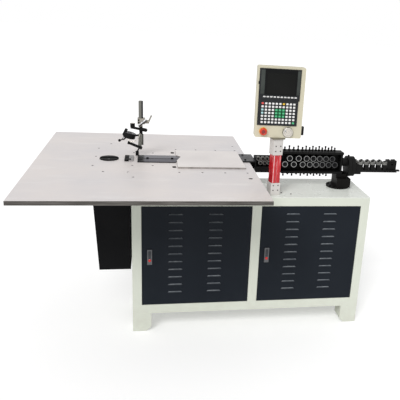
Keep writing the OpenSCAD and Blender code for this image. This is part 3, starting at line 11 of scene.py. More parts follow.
import bmesh
import bpy
from mathutils import Matrix, Vector, noise
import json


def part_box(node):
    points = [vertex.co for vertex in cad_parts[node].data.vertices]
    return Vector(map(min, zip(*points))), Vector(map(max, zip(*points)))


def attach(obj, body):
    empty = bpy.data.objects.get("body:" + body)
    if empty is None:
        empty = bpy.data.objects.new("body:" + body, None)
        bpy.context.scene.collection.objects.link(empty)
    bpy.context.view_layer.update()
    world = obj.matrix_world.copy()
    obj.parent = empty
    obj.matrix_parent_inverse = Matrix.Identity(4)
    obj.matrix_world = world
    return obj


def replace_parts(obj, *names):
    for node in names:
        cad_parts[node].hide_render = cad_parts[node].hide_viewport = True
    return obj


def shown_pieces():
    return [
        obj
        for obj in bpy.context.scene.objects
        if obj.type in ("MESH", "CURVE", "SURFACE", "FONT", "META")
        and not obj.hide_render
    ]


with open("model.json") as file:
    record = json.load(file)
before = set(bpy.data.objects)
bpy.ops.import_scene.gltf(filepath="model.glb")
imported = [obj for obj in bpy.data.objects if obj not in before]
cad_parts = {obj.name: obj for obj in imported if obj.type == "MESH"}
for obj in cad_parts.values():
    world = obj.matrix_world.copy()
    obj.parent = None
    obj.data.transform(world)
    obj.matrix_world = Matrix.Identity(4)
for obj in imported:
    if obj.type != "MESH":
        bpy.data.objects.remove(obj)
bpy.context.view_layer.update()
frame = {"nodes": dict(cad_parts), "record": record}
MM = 0.001
TO_FRONT = Matrix.Rotation(math.pi / 2, 4, "X")  # turns the w axis from up to the front


def corners(node):
    """Lowest and highest corner of a CAD node, in millimetres."""
    low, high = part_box(node)
    return low / MM, high / MM


def middle(box):
    return (box[0] + box[1]) / 2


def in_scene(name, data):
    """A new object for the data, linked into the scene."""
    made = bpy.data.objects.new(name, data)
    bpy.context.scene.collection.objects.link(made)
    return made


# %% [markdown]
# ## The camera
# The photo was taken from the front, a little left of the middle, at about eye height, with a
# normal lens. The three rows below are the camera's right, up and back directions. They were
# worked out from the straight edges of the table and the cabinet. A small sideways shift stands
# for the cropping of the picture.

# %% Camera
PICTURE, FOCAL, CENTRE = 400, 564.39, (274.81, 206.51)  # in pixels of the photo
camera = in_scene("camera", bpy.data.cameras.new("camera"))
right, up = (0.977148, -0.201156, 0.068694), (0.000922, 0.327179, 0.944962)
back = (-0.21256, -0.923304, 0.319887)
looks = Matrix((right, up, back)).transposed().to_4x4()
camera.matrix_world = Matrix.Translation((-0.4375, -3.0687, 1.7453)) @ looks
camera.data.sensor_width = 36
camera.data.lens = FOCAL / PICTURE * 36
camera.data.shift_x = -(CENTRE[0] - PICTURE / 2) / PICTURE
camera.data.shift_y = (CENTRE[1] - PICTURE / 2) / PICTURE
bpy.context.scene.camera = camera
print("lens", round(camera.data.lens, 1), "mm")

# %% [markdown]
# ## How a finish is built
# A painted or ground surface is never one even colour. Each finish here starts from a base
# colour and adds what the real one shows at its own scale: cloudy tone, fine grain in the
# bump, and changes of gloss. All patterns read Object coordinates, so they stay put when the
# camera moves. Small helpers keep every finish to a few lines.

# %% Finish helpers


def tone(r, g, b):
    """A screen colour, 0 to 255, made linear for the shader."""
    return tuple(((c / 255 + 0.055) / 1.055) ** 2.4 if c > 10 else c / 3294.6 for c in (r, g, b)) + (1.0,)


def new_finish(name, colour, rough, metal=0.0, coat=0.0, glint=0.5):
    finish = bpy.data.materials.new(name)
    finish.use_nodes = True
    shader = finish.node_tree.nodes["Principled BSDF"]
    for socket, value in (("Base Color", tone(*colour)), ("Roughness", rough), ("Metallic", metal),
                          ("Coat Weight", coat), ("Specular IOR Level", glint)):
        shader.inputs[socket].default_value = value
    finish.diffuse_color = tone(*colour)
    return finish


def node_of(finish, kind, **values):
    made = finish.node_tree.nodes.new(kind)
    for key, value in values.items():
        if hasattr(made, key):
            setattr(made, key, value)
        else:
            made.inputs[key.replace("_", " ")].default_value = value
    return made


def join(finish, source, socket):
    """Links an output to a socket, or writes a plain number or screen colour into it."""
    if isinstance(source, (tuple, float)):
        socket.default_value = tone(*source) if isinstance(source, tuple) else source
    else:
        finish.node_tree.links.new(source, socket)


def pattern(finish, scale, stretch=(1, 1, 1), detail=3.0):
    """Noise on Object coordinates, in cycles per metre along each axis."""
    place = node_of(finish, "ShaderNodeTexCoord")
    mapping = node_of(finish, "ShaderNodeMapping", Scale=stretch)
    texture = node_of(finish, "ShaderNodeTexNoise", Scale=scale, Detail=detail)
    join(finish, place.outputs["Object"], mapping.inputs["Vector"])
    join(finish, mapping.outputs["Vector"], texture.inputs["Vector"])
    return texture.outputs["Fac"]


def steps(finish, fac, low, high, a=0.35, b=0.65):
    """Fac between a and b becomes a screen colour or number between low and high."""
    ramp = node_of(finish, "ShaderNodeValToRGB")
    for stop, place, value in zip(ramp.color_ramp.elements, (a, b), (low, high)):
        stop.position = place
        stop.color = tone(*value) if isinstance(value, tuple) else (value, value, value, 1)
    join(finish, fac, ramp.inputs["Fac"])
    return ramp.outputs["Color"]


def clouded(finish, colour, cloud, scale, detail=3.0):
    """The colour, darker by cloud in patches."""
    darker = tuple(max(0, c - cloud) for c in colour)
    return steps(finish, pattern(finish, scale, detail=detail), darker, colour)


def blend_in(finish, fac, colour_a, colour_b):
    mix = node_of(finish, "ShaderNodeMix", data_type="RGBA")
    for value, socket in ((fac, "Factor"), (colour_a, 6), (colour_b, 7)):
        join(finish, value, mix.inputs[socket])
    return mix.outputs[2]


def calc(finish, operation, *values):
    """A Math node on outputs or plain numbers."""
    worked = node_of(finish, "ShaderNodeMath", operation=operation)
    for value, socket in zip(values, worked.inputs):
        join(finish, value, socket)
    return worked.outputs["Value"]


def into(finish, output, socket):
    join(finish, output, finish.node_tree.nodes["Principled BSDF"].inputs[socket])


def relief(finish, fac, height):
    """Bump of a height in millimetres."""
    bump = node_of(finish, "ShaderNodeBump", Distance=height * MM, Strength=1.0)
    join(finish, fac, bump.inputs["Height"])
    into(finish, bump.outputs["Normal"], "Normal")


def along(finish, axis, kind="Object"):
    """One axis of the texture coordinates of a kind."""
    split = node_of(finish, "ShaderNodeSeparateXYZ")
    join(finish, node_of(finish, "ShaderNodeTexCoord").outputs[kind], split.inputs["Vector"])
    return split.outputs[axis]


def rise(finish, value, low, high):
    """0 where the value is below low, 1 where it is above high."""
    span = node_of(finish, "ShaderNodeMapRange", From_Min=low, From_Max=high)
    join(finish, value, span.inputs["Value"])
    return span.outputs["Result"]


def height_mask(finish, low, high, axis="Z"):
    """0 below low and 1 above high, in millimetres along an axis of the machine."""
    return rise(finish, along(finish, axis), low * MM, high * MM)


# %% [markdown]
# ## Paints
# The cabinet is sprayed in a cream with a green cast, the doors in a blue slate, the head
# housing in near black. Sprayed paint has an orange-peel skin a few millimetres across, and
# dust gathers near the floor. One function makes them all, because only the colours differ.

# %% Paints
DUST_TOP = 260  # height in millimetres that dust reaches


def sprayed(name, colour, rough, cloud=6, dust=None, peel=0.06, glint=0.5):
    finish = new_finish(name, colour, rough, glint=glint)
    clouds = clouded(finish, colour, cloud, 3.0, 4.0)
    if dust:
        low = node_of(finish, "ShaderNodeInvert")
        join(finish, height_mask(finish, 0, DUST_TOP), low.inputs["Color"])
        grime = calc(finish, "MULTIPLY", low.outputs["Color"], steps(finish, pattern(finish, 22.0), 0.0, 0.45))
        clouds = blend_in(finish, grime, clouds, dust)
    into(finish, clouds, "Base Color")
    into(finish, steps(finish, pattern(finish, 9.0), rough - 0.06, rough + 0.08), "Roughness")
    relief(finish, pattern(finish, 260.0, detail=1.0), peel)
    return finish


cabinet_paint = sprayed("cabinet_paint", (222, 226, 213), 0.42, cloud=5, dust=(204, 202, 190))
door_paint = sprayed("door_paint", (30, 35, 42), 0.42, cloud=4, dust=(44, 48, 54), peel=0.09, glint=0.12)
riser_paint = sprayed("riser_paint", (40, 42, 48), 0.5, glint=0.2)
housing_paint = sprayed("housing_paint", (18, 18, 20), 0.46, cloud=4, peel=0.09, glint=0.1)
# the cabinet's top takes a lighter cream than cabinet_paint: painted sheen of the light it reflects at a glancing angle
lid_paint = sprayed("lid_paint", (238, 241, 234), 0.30, cloud=3)
flange_paint = sprayed("flange_paint", (126, 120, 102), 0.42, cloud=8)
sleeve_paint = sprayed("sleeve_paint", (216, 212, 208), 0.36, cloud=8)
case_paint = sprayed("case_paint", (214, 208, 184), 0.40, cloud=7, peel=0.07)
cast_paint = sprayed("cast_paint", (20, 20, 20), 0.50, cloud=5, peel=0.16, glint=0.15)
column_paint = sprayed("column_paint", (18, 16, 15), 0.46, peel=0.12, glint=0.12)

# %% [markdown]
# ## Metals
# The table is ground steel: fine grinding lines run along the wire, cloudy stains lie over
# them, and the sawn edge is darker than the face. The edge is told from the face by the
# direction that the surface looks in. Tool steel, black oxide and chrome follow the same
# recipe with other numbers.

# %% Metals
GROUND, EVEN = (2, 90, 90), (30, 30, 30)  # grinding lines along the wire, or grain in no direction


def worked_metal(name, colour, rough, cloud=14, grain=GROUND, metal=1.0, scratch=0.02, spots=2.2, glint=0.5):
    finish = new_finish(name, colour, rough, metal, glint=glint)
    into(finish, clouded(finish, colour, cloud, spots, 5.0), "Base Color")
    lines = pattern(finish, 8.0, stretch=grain, detail=2.0)
    into(finish, steps(finish, lines, rough - 0.07, rough + 0.09), "Roughness")
    relief(finish, lines, scratch)
    return finish


def edge_tone(finish, face, edge):
    """face where the surface looks up, edge on its sides, told by the direction it looks in."""
    flat_top = rise(finish, along(finish, "Z", "Normal"), 0.3, 0.8)
    into(finish, blend_in(finish, flat_top, edge, face), "Base Color")


table_steel = worked_metal("table_steel", (236, 229, 227), 0.42, cloud=12, metal=0.35)
stained = steps(table_steel, pattern(table_steel, 1.7, detail=6.0), (226, 223, 225), (240, 233, 230), 0.3, 0.6)
marks = steps(table_steel, pattern(table_steel, 5.0, stretch=(1, 3, 1), detail=8.0), 0.0, 0.55, 0.56, 0.78)
face = blend_in(table_steel, marks, stained, (249, 245, 243))
sawn = steps(table_steel, pattern(table_steel, 30.0, stretch=(0.3, 0.3, 9)), (66, 62, 58), (112, 108, 104))
edge_tone(table_steel, face, sawn)

cover_steel = worked_metal("cover_steel", (240, 233, 231), 0.36, cloud=8, metal=0.3)
smooth = steps(cover_steel, pattern(cover_steel, 3.0, detail=5.0), (232, 226, 224), (246, 240, 237))
# the cover's sides take a darker grey than its top: painted shade, so that a shadow line shows along its edge
shaded_cover_sides = steps(cover_steel, pattern(cover_steel, 20.0), (132, 127, 123), (170, 164, 160))
edge_tone(cover_steel, smooth, shaded_cover_sides)
louvre_paint = sprayed("louvre_paint", (44, 50, 57), 0.42, peel=0.09, glint=0.2)
# the hoods' upward faces take a far lighter grey than the door paint: painted highlight of the light from above; their
# sides keep the dark paint
lit_hood_tops = steps(louvre_paint, pattern(louvre_paint, 40.0), (104, 110, 116), (136, 141, 145))
edge_tone(louvre_paint, lit_hood_tops, (38, 43, 50))

guide_steel = worked_metal("guide_steel", (104, 102, 110), 0.36, cloud=12, metal=0.7, glint=0.3)
tool_steel = worked_metal("tool_steel", (176, 174, 175), 0.34, cloud=22, grain=(90, 4, 90), metal=0.6)
dark_steel = worked_metal("dark_steel", (58, 57, 61), 0.36, metal=0.8)
turret_black = worked_metal("turret_black", (11, 11, 12), 0.5, cloud=4, grain=EVEN, metal=0.0, spots=14, glint=0.1)
bar_steel = worked_metal("bar_steel", (48, 48, 50), 0.4, cloud=8, metal=0.5, glint=0.2)
small_ring_steel = worked_metal("small_ring_steel", (142, 142, 139), 0.34, cloud=26, metal=0.5, spots=30)
black_oxide = worked_metal("black_oxide", (26, 26, 27), 0.46, cloud=8, grain=EVEN, metal=0.5, spots=14, glint=0.25)
guide_dark = worked_metal("guide_dark", (26, 24, 28), 0.44, cloud=8, metal=0.5, glint=0.25)
clamp_steel = worked_metal("clamp_steel", (172, 168, 158), 0.40, cloud=26, grain=EVEN, metal=0.6, spots=26)
plate_grey = worked_metal("plate_grey", (92, 92, 95), 0.36, cloud=36, grain=EVEN, metal=0.4, spots=40, glint=0.3)
drum_steel = worked_metal("drum_steel", (122, 121, 124), 0.3, cloud=40, grain=EVEN, metal=0.6, spots=40)
chrome = worked_metal("chrome", (214, 214, 216), 0.16, cloud=18, grain=EVEN, scratch=0.004, spots=18)
ring_steel = worked_metal("ring_steel", (190, 191, 188), 0.3, cloud=20, grain=EVEN, metal=0.6, spots=18)
# the rings darken from x 380 to 600 mm: painted shade, making the right-hand rings dimmer than those at the upper left
painted_shade_to_right = height_mask(ring_steel, 380, 600, "X")
into(ring_steel, blend_in(ring_steel, painted_shade_to_right, (196, 197, 194), (92, 93, 92)), "Base Color")
satin_nickel = worked_metal("satin_nickel", (238, 232, 222), 0.32, metal=0.6, spots=20)
post_steel = worked_metal("post_steel", (128, 128, 122), 0.46, grain=(60, 60, 3), metal=0.2, glint=0.3)
drive_metal = worked_metal("drive_metal", (96, 103, 118), 0.48, cloud=16, metal=0.5)
print("finishes so far:", len(bpy.data.materials))

# %% [markdown]
# ## Plastics, glass and film
# The stop button and the lock buttons are glossy moulded plastic, the control panel is a
# fine-textured membrane, and the screen is a dark pane. The red film that still wraps the
# pole is thin and crumpled. Its colour carries painted shade in darker upright patches,
# painted highlights in pale upright streaks, and a broader pale upright band of painted highlight.

# %% Plastics, glass and film


def moulded(name, colour, rough, cloud=8, grain=0.02, coat=0.0, spots=30.0, glint=0.5):
    finish = new_finish(name, colour, rough, coat=coat, glint=glint)
    into(finish, clouded(finish, colour, cloud, spots), "Base Color")
    into(finish, steps(finish, pattern(finish, 45.0), rough - 0.04, rough + 0.06), "Roughness")
    relief(finish, pattern(finish, 900.0, detail=1.0), grain)
    return finish


stop_red = moulded("stop_red", (226, 62, 32), 0.24, cloud=16, coat=0.4)
stop_core = moulded("stop_core", (150, 60, 58), 0.30, cloud=12)
lock_red = moulded("lock_red", (214, 40, 34), 0.28, coat=0.3)
collar_yellow = moulded("collar_yellow", (238, 184, 40), 0.34)
lock_grey = moulded("lock_grey", (70, 71, 75), 0.34, cloud=10, glint=0.3)
lock_plate = moulded("lock_plate", (104, 105, 108), 0.38, cloud=10)
lock_cap = moulded("lock_cap", (216, 216, 214), 0.30)
panel_dark = moulded("panel_dark", (46, 48, 50), 0.50, cloud=6, grain=0.03, glint=0.15)
panel_black = moulded("panel_black", (17, 18, 19), 0.40, cloud=3, glint=0.15)
strip_grey = moulded("strip_grey", (66, 71, 68), 0.48, glint=0.2)
screen_glass = moulded("screen_glass", (24, 25, 24), 0.22, cloud=5, grain=0.0, spots=6.0, glint=0.15)
key_white = moulded("key_white", (240, 240, 238), 0.40, cloud=5)
key_red = moulded("key_red", (222, 82, 78), 0.40)
key_yellow = moulded("key_yellow", (238, 196, 60), 0.40)
key_green = moulded("key_green", (84, 190, 134), 0.40)
field_green = moulded("field_green", (12, 78, 44), 0.45, glint=0.2)
key_aqua = moulded("key_aqua", (178, 220, 222), 0.40)
dark_plastic = moulded("dark_plastic", (22, 22, 24), 0.42, glint=0.25)
board_grey = moulded("board_grey", (176, 178, 176), 0.5)

FILM_HIGHLIGHT_X = 0.2125  # x of the film's pale band of painted highlight, in metres
red_film = new_finish("red_film", (210, 34, 42), 0.24, coat=0.4)
# darker upright patches in the film's red: painted shade of its folds
patches = steps(red_film, pattern(red_film, 10.0, (9, 9, 1)), (176, 12, 24), (212, 30, 42), 0.36, 0.62)
# pale upright streaks in the film: painted highlights where its gloss catches the light
highlight_streaks = steps(red_film, pattern(red_film, 34.0, (3.4, 3.4, 0.5)), 0.0, 0.5, 0.58, 0.7)
film_with_highlights = blend_in(red_film, highlight_streaks, patches, (246, 206, 206))
# a pale upright band round the x set above, broken up by noise: painted highlight on the film
from_highlight_band = calc(red_film, "ABSOLUTE", calc(red_film, "SUBTRACT", along(red_film, "X"), FILM_HIGHLIGHT_X))
highlight_band = steps(red_film, calc(red_film, "MULTIPLY", from_highlight_band, 100.0), 0.85, 0.0, 0.12, 0.3)
broken_highlight_band = calc(red_film, "MULTIPLY", highlight_band, steps(red_film, pattern(red_film, 30.0), 0.3, 1.0))
into(red_film, blend_in(red_film, broken_highlight_band, film_with_highlights, (250, 222, 222)), "Base Color")
relief(red_film, pattern(red_film, 14.0, (6, 6, 1.5), 4.0), 1.4)

# %% [markdown]
# ## Which finish goes on which CAD node
# A CAD node whose shape is right stays and only gets its finish. Its mesh is loose triangles
# with knife edges, and a real edge is never that sharp, so modifiers weld it, merge its flat
# faces, round its edges by a fraction of a millimetre and even out the shading.

# %% Finish and soften the CAD nodes
FLAT, CREASE = math.radians(0.5), math.radians(40)  # faces count as one below, edges are rounded above
TOUCH = 0.000005  # points closer than this, in metres, are one


def modify(piece, name, kind, **settings):
    modifier = piece.modifiers.new(name, kind)
    for key, value in settings.items():
        setattr(modifier, key, value)


def soften(node, finishes, width, choose=None):
    """choose tells which finish a face takes, from its middle in millimetres and its direction."""
    piece = frame["nodes"][node]
    piece.data.materials.clear()
    for finish in finishes if isinstance(finishes, tuple) else (finishes,):
        piece.data.materials.append(finish)
    taken = [choose(f.center / MM, f.normal) if choose else 0 for f in piece.data.polygons]
    piece.data.polygons.foreach_set("material_index", taken)
    piece.data.polygons.foreach_set("use_smooth", [True] * len(taken))
    modify(piece, "weld", "WELD", merge_threshold=TOUCH)
    modify(piece, "flatten", "DECIMATE", decimate_type="DISSOLVE", angle_limit=FLAT, delimit={"MATERIAL"})
    modify(piece, "rounding", "BEVEL", width=width * MM, segments=2, limit_method="ANGLE", angle_limit=CREASE,
           use_clamp_overlap=True)
    modify(piece, "shading", "WEIGHTED_NORMAL", weight=100)


plain_nodes = {
    cabinet_paint: {"front_frame": 1.2, "cabinet_shell": 0.8, "floor_tray": 0.6}, lid_paint: {"cabinet_top": 1.2},
    riser_paint: {"table_riser": 0.6}, table_steel: {"table_plate": 0.8}, cover_steel: {"feed_cover": 0.7},
    housing_paint: {"head_housing": 0.8}, drive_metal: {"bend_drive": 1.0, "feed_drive": 1.2},
    sleeve_paint: {"pole_sleeves": 0.8}, column_paint: {"straightener_column": 1.2},
    cast_paint: {"channel": 0.8, "entry_unit": 0.5}, black_oxide: {"slide_blocks": 0.5, "arm_foot": 0.4},
    tool_steel: {"bend_pin": 0.5, "drive_roller": 0.5, "pinch_roller": 0.5, "cutter_block": 0.5},
    dark_steel: {"pinch_slide": 0.5}, turret_black: {"cutter_blade": 0.5}, screen_glass: {"pendant_screen": 0.4},
    lock_grey: {"lock_handle_left": 0.8, "lock_handle_right": 0.8}, case_paint: {"pendant_case": 1.5},
    lock_red: {"lock_button_left": 0.8, "lock_button_right": 0.8},
}
for finish, nodes in plain_nodes.items():
    for node, width in nodes.items():
        soften(node, finish, width)
print("nodes with one finish:", sum(map(len, plain_nodes.values())))

# %% [markdown]
# ## Mesh helpers
# Three shapes cover most machined pieces: a box with rounded edges, a flat outline given a
# thickness, and a profile turned about an axis. Each is made in bmesh, in millimetres, with
# its place in its vertices and its object at the origin, which is where the frame expects it.

# %% Boxes, outlines and turned shapes


def finished(name, bm, finishes, body="machine", sharp=35):
    """Turns a bmesh in millimetres into a piece that rides on a body."""
    bmesh.ops.remove_doubles(bm, verts=bm.verts, dist=0.002)
    bmesh.ops.recalc_face_normals(bm, faces=bm.faces)
    bmesh.ops.scale(bm, vec=(MM, MM, MM), verts=bm.verts)
    mesh = bpy.data.meshes.new(name)
    bm.to_mesh(mesh)
    bm.free()
    for finish in finishes:
        mesh.materials.append(finish)
    mesh.shade_smooth()
    mesh.set_sharp_from_angle(angle=math.radians(sharp))
    piece = in_scene(name, mesh)
    if body:
        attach(piece, body)
    return piece


def rounded(bm, edges, by, clamp=False):
    """Rounds edges and gives back the new faces."""
    return bmesh.ops.bevel(bm, geom=edges, offset=by, segments=2, affect="EDGES", profile=0.5,
                           clamp_overlap=clamp)["faces"]


def add_box(bm, low, high, round_by=0.5, paint=0):
    part = bmesh.ops.create_cube(bm, size=1.0)["verts"]
    for v in part:
        v.co = Vector([(a + b) / 2 + c * (b - a) for a, b, c in zip(low, high, v.co)])
    faces = {f for v in part for f in v.link_faces}
    for f in faces:
        f.material_index = paint
    if round_by:
        for f in rounded(bm, list({e for v in part for e in v.link_edges}), round_by):
            f.material_index = paint


def add_slab(bm, outline, thick, place, round_by):
    """Outline points (u, v) given a thickness along -w, rounded and moved by place."""
    top = [bm.verts.new((u, v, 0)) for u, v in outline]
    low = [bm.verts.new((u, v, -thick)) for u, v in outline]
    n = len(outline)
    faces = [bm.faces.new(top), bm.faces.new(low[::-1])]
    faces += [bm.faces.new((top[i], low[i], low[(i + 1) % n], top[(i + 1) % n])) for i in range(n)]
    made = rounded(bm, [e for f in faces[:2] for e in f.edges], round_by)
    verts = list({v for f in made + [g for g in faces if g.is_valid] for v in f.verts})
    bmesh.ops.transform(bm, matrix=place, verts=verts)


def ring_of(n, radius):
    return [(radius * math.cos(2 * math.pi * i / n), radius * math.sin(2 * math.pi * i / n)) for i in range(n)]


def add_rings(bm, rows):
    """Points for rows of (outline, height)."""
    return [[bm.verts.new((u, v, w)) for u, v in outline] for outline, w in rows]


def bridge(bm, rings, closed=False):
    """Four-sided faces between rings of one length."""
    for a, b in zip(rings, rings[1:] + rings[:1] * closed):
        for i in range(len(a)):
            j = (i + 1) % len(a)
            bm.faces.new((a[i], a[j], b[j], b[i]))


def move(bm, rings, place):
    bmesh.ops.transform(bm, matrix=place, verts=[v for ring in rings for v in ring])


def add_turned(bm, profile, place=Matrix(), sides=40, paints=None):
    """Profile points (radius, height) turned about w, then moved by place. Radius 0 is a pole."""
    rings = add_rings(bm, [(ring_of(sides, r) if r >= 1e-6 else [(0, 0)], w) for r, w in profile])
    for k, (a, b) in enumerate(zip(rings, rings[1:])):
        for i in range(sides):
            loop = [a[i % len(a)], b[i % len(b)]] + [ring[(i + 1) % sides] for ring in (b, a) if len(ring) > 1]
            if len(loop) > 2:
                bm.faces.new(loop).material_index = paints[k] if paints else 0
    move(bm, rings, place)


def at(x, y, z, facing="up"):
    """A place whose w axis looks up or to the front."""
    return Matrix.Translation((x, y, z)) @ (TO_FRONT if facing == "front" else Matrix())


# %% [markdown]
# ## Reading places from the solids
# A node such as the screws holds many separate solids. Welding a copy of its mesh and walking
# from face to face gives each solid's box, so the detailed piece sits exactly where the CAD
# solid does and no place is written down twice.

# %% Boxes of a node's solids


def welded(node):
    bm = bmesh.new()
    bm.from_mesh(frame["nodes"][node].data)
    bmesh.ops.scale(bm, vec=(1 / MM, 1 / MM, 1 / MM), verts=bm.verts)
    bmesh.ops.remove_doubles(bm, verts=bm.verts, dist=0.005)
    return bm


def islands(bm):
    """(vertices, low corner, high corner) of each separate solid."""
    seen, found = set(), []
    for start in bm.verts:
        if start in seen:
            continue
        heap, island = [start], []
        seen.add(start)
        while heap:
            v = heap.pop()
            island.append(v)
            for e in v.link_edges:
                other = e.other_vert(v)
                if other not in seen:
                    seen.add(other)
                    heap.append(other)
        places = [v.co for v in island]
        found.append((island, Vector(map(min, *places)), Vector(map(max, *places))))
    return found


def solids_of(node):
    """(low corner, high corner) of each solid of a CAD node, from left to right."""
    bm = welded(node)
    found = [(low, high) for _, low, high in islands(bm)]
    bm.free()
    return sorted(found, key=lambda box: (round(box[0].x, 1), round(box[0].z, 1)))


def add_copy(bm, node, keep, round_by):
    """Adds the solids of a node that keep(low, high) asks for, with rounded edges."""
    part = welded(node)
    for verts, low, high in islands(part):
        if not keep(low, high):
            bmesh.ops.delete(part, geom=verts, context="VERTS")
    bmesh.ops.dissolve_limit(part, angle_limit=FLAT, verts=part.verts, edges=part.edges)
    rounded(part, [e for e in part.edges if e.is_manifold and e.calc_face_angle(0) > CREASE], round_by, True)
    mesh = bpy.data.meshes.new("part")
    part.to_mesh(mesh)
    part.free()
    bm.from_mesh(mesh)
    bpy.data.meshes.remove(mesh)


screw_boxes = solids_of("screws")
bolt_boxes = solids_of("adjusting_bolts")
ring_boxes = solids_of("guide_rollers")
print("screws", len(screw_boxes), "bolts", len(bolt_boxes), "small rollers", len(ring_boxes))

# %% [markdown]
# ## Geometry Nodes for what repeats
# Louvres, keys, screws and bolts are one shape set down many times. Two small trees do it: one
# sets a shape on given points, the other on a ring. The shape is an input of the tree, and so
# are the sizes. The tree ends by making the copies real and giving them their finish.

# %% The two trees


def wire(tree, *rows):
    """Links a node's output to a node's input for each row."""
    for source, output, goal, socket in rows:
        tree.links.new(source.outputs[output], goal.inputs[socket])


def new_tree(name, *kinds, **inputs):
    """A tree with a Shape, a Finish and its own inputs. Also its end points and a node of each kind."""
    tree = bpy.data.node_groups.new(name, "GeometryNodeTree")
    tree.is_modifier = True
    tree.interface.new_socket("Geometry", in_out="OUTPUT", socket_type="NodeSocketGeometry")
    for label, kind in {"Geometry": "Geometry", "Shape": "Object", **inputs, "Finish": "Material"}.items():
        tree.interface.new_socket(label, in_out="INPUT", socket_type="NodeSocket" + kind)
    return [tree] + [tree.nodes.new(kind) for kind in ("NodeGroupInput", "NodeGroupOutput", *kinds)]


def close_tree(tree, came_in, goes_out, copies, socket):
    real = tree.nodes.new("GeometryNodeRealizeInstances")
    painted = tree.nodes.new("GeometryNodeSetMaterial")
    wire(tree, (copies, socket, real, "Geometry"), (real, "Geometry", painted, "Geometry"),
         (came_in, "Finish", painted, "Material"), (painted, "Geometry", goes_out, "Geometry"))
    return tree


def tree_on_points():
    """Sets the shape on every vertex of the base mesh, stretched along Z by the input Stretch."""
    tree, came_in, goes_out, shape, copy, size = new_tree(
        "shape_on_points", "GeometryNodeObjectInfo", "GeometryNodeInstanceOnPoints", "ShaderNodeCombineXYZ",
        Stretch="Float")
    size.inputs["X"].default_value = size.inputs["Y"].default_value = 1.0
    wire(tree, (came_in, "Shape", shape, "Object"), (came_in, "Stretch", size, "Z"),
         (came_in, "Geometry", copy, "Points"), (shape, "Geometry", copy, "Instance"), (size, "Vector", copy, "Scale"))
    return close_tree(tree, came_in, goes_out, copy, "Instances")


def tree_on_ring():
    """Sets Count copies of the shape round the Z axis, at Radius, each turned to face outwards."""
    tree, came_in, goes_out, ring, shape, copy, index, share, angle, turn, moved = new_tree(
        "shape_on_ring", "GeometryNodeMeshCircle", "GeometryNodeObjectInfo", "GeometryNodeInstanceOnPoints",
        "GeometryNodeInputIndex", "ShaderNodeMath", "ShaderNodeMath", "ShaderNodeCombineXYZ", "GeometryNodeTransform",
        Count="Int", Radius="Float", Place="Vector", Tilt="Vector")
    share.operation, angle.operation = "DIVIDE", "MULTIPLY"
    share.inputs[0].default_value = 2 * math.pi
    wire(tree, (came_in, "Count", ring, "Vertices"), (came_in, "Radius", ring, "Radius"),
         (came_in, "Shape", shape, "Object"), (ring, "Mesh", copy, "Points"), (shape, "Geometry", copy, "Instance"),
         (came_in, "Count", share, 1), (share, 0, angle, 0), (index, 0, angle, 1), (angle, 0, turn, "Z"),
         (turn, "Vector", copy, "Rotation"), (copy, "Instances", moved, "Geometry"),
         (came_in, "Place", moved, "Translation"), (came_in, "Tilt", moved, "Rotation"))
    return close_tree(tree, came_in, goes_out, moved, "Geometry")


points_tree, ring_tree = tree_on_points(), tree_on_ring()


def made_real(maker):
    """The mesh that a modifier or curve makes. Its object is taken away."""
    view = bpy.context.evaluated_depsgraph_get()
    mesh = bpy.data.meshes.new_from_object(maker.evaluated_get(view))
    bpy.data.objects.remove(maker)
    return mesh


def repeated(name, tree, points, body, shape, **sizes):
    """Runs a tree on points in millimetres and keeps the result as a plain mesh on a body."""
    base = bpy.data.meshes.new(name + "_points")
    base.from_pydata([Vector(p) * MM for p in points], [], [])
    maker = in_scene(name + "_maker", base)
    modifier = maker.modifiers.new("copies", "NODES")
    modifier.node_group = tree
    named = {item.name: item.identifier for item in tree.interface.items_tree if item.in_out == "INPUT"}
    for label, value in {"Shape": shape, "Finish": shape.data.materials[0], **sizes}.items():
        modifier[named[label]] = value
    mesh = made_real(maker)
    mesh.name = name
    mesh.set_sharp_from_angle(angle=math.radians(35))
    piece = in_scene(name, mesh)
    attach(piece, body)
    print(name, "copies:", len(points) or sizes["Count"], "faces:", len(mesh.polygons))
    return piece


def on_points(name, points, body, shape, stretch=1.0):
    return repeated(name, points_tree, points, body, shape, Stretch=stretch)


def on_ring(name, body, shape, count, radius, centre, tilt):
    return repeated(name, ring_tree, [], body, shape, Count=count, Radius=radius * MM, Place=centre * MM, Tilt=tilt)


def pattern_shape(bm, finish):
    """A shape to repeat. It is kept out of the scene, so that only its copies are there."""
    shape = finished("shape", bm, [finish], None)
    bpy.context.scene.collection.objects.unlink(shape)
    return shape


def box_shape(low, high, round_by, finish):
    bm = bmesh.new()
    add_box(bm, low, high, round_by)
    return pattern_shape(bm, finish)


# %% [markdown]
# ## Screws
# Cap screws hold the table, the pole, the column and the exit bracket. A cap screw is a short
# cylinder with a rounded rim and a hexagonal socket. It is turned and cut once for each size
# and set on the middle of every screw solid.

# %% Screws


def divided(outline, n):
    """The outline with each side cut into n."""
    return [((a[0] * (n - j) + b[0] * j) / n, (a[1] * (n - j) + b[1] * j) / n)
            for a, b in zip(outline, outline[1:] + outline[:1]) for j in range(n)]


def add_cap_screw(bm, r, h, place=Matrix()):
    """Head from its seat at 0 up to h, with a six-sided socket sunk in the top."""
    rim, wall, hexagon = ring_of(24, r), ring_of(24, r * 0.88), divided(ring_of(6, r * 0.55), 4)
    rings = add_rings(bm, ((rim, 0), (rim, h * 0.85), (wall, h), (hexagon, h), (hexagon, h * 0.4)))
    bm.faces.new(rings[0][::-1])
    bm.faces.new(rings[-1])
    bridge(bm, rings)
    move(bm, rings, place)


def screws_like(name, boxes, finish):
    """Cap screws that look up, for boxes of one size."""
    size = boxes[0][1] - boxes[0][0]
    bm = bmesh.new()
    add_cap_screw(bm, size.x / 2, size.z)
    return on_points(name, [(middle(b).x, middle(b).y, b[0].z) for b in boxes], "machine", pattern_shape(bm, finish))


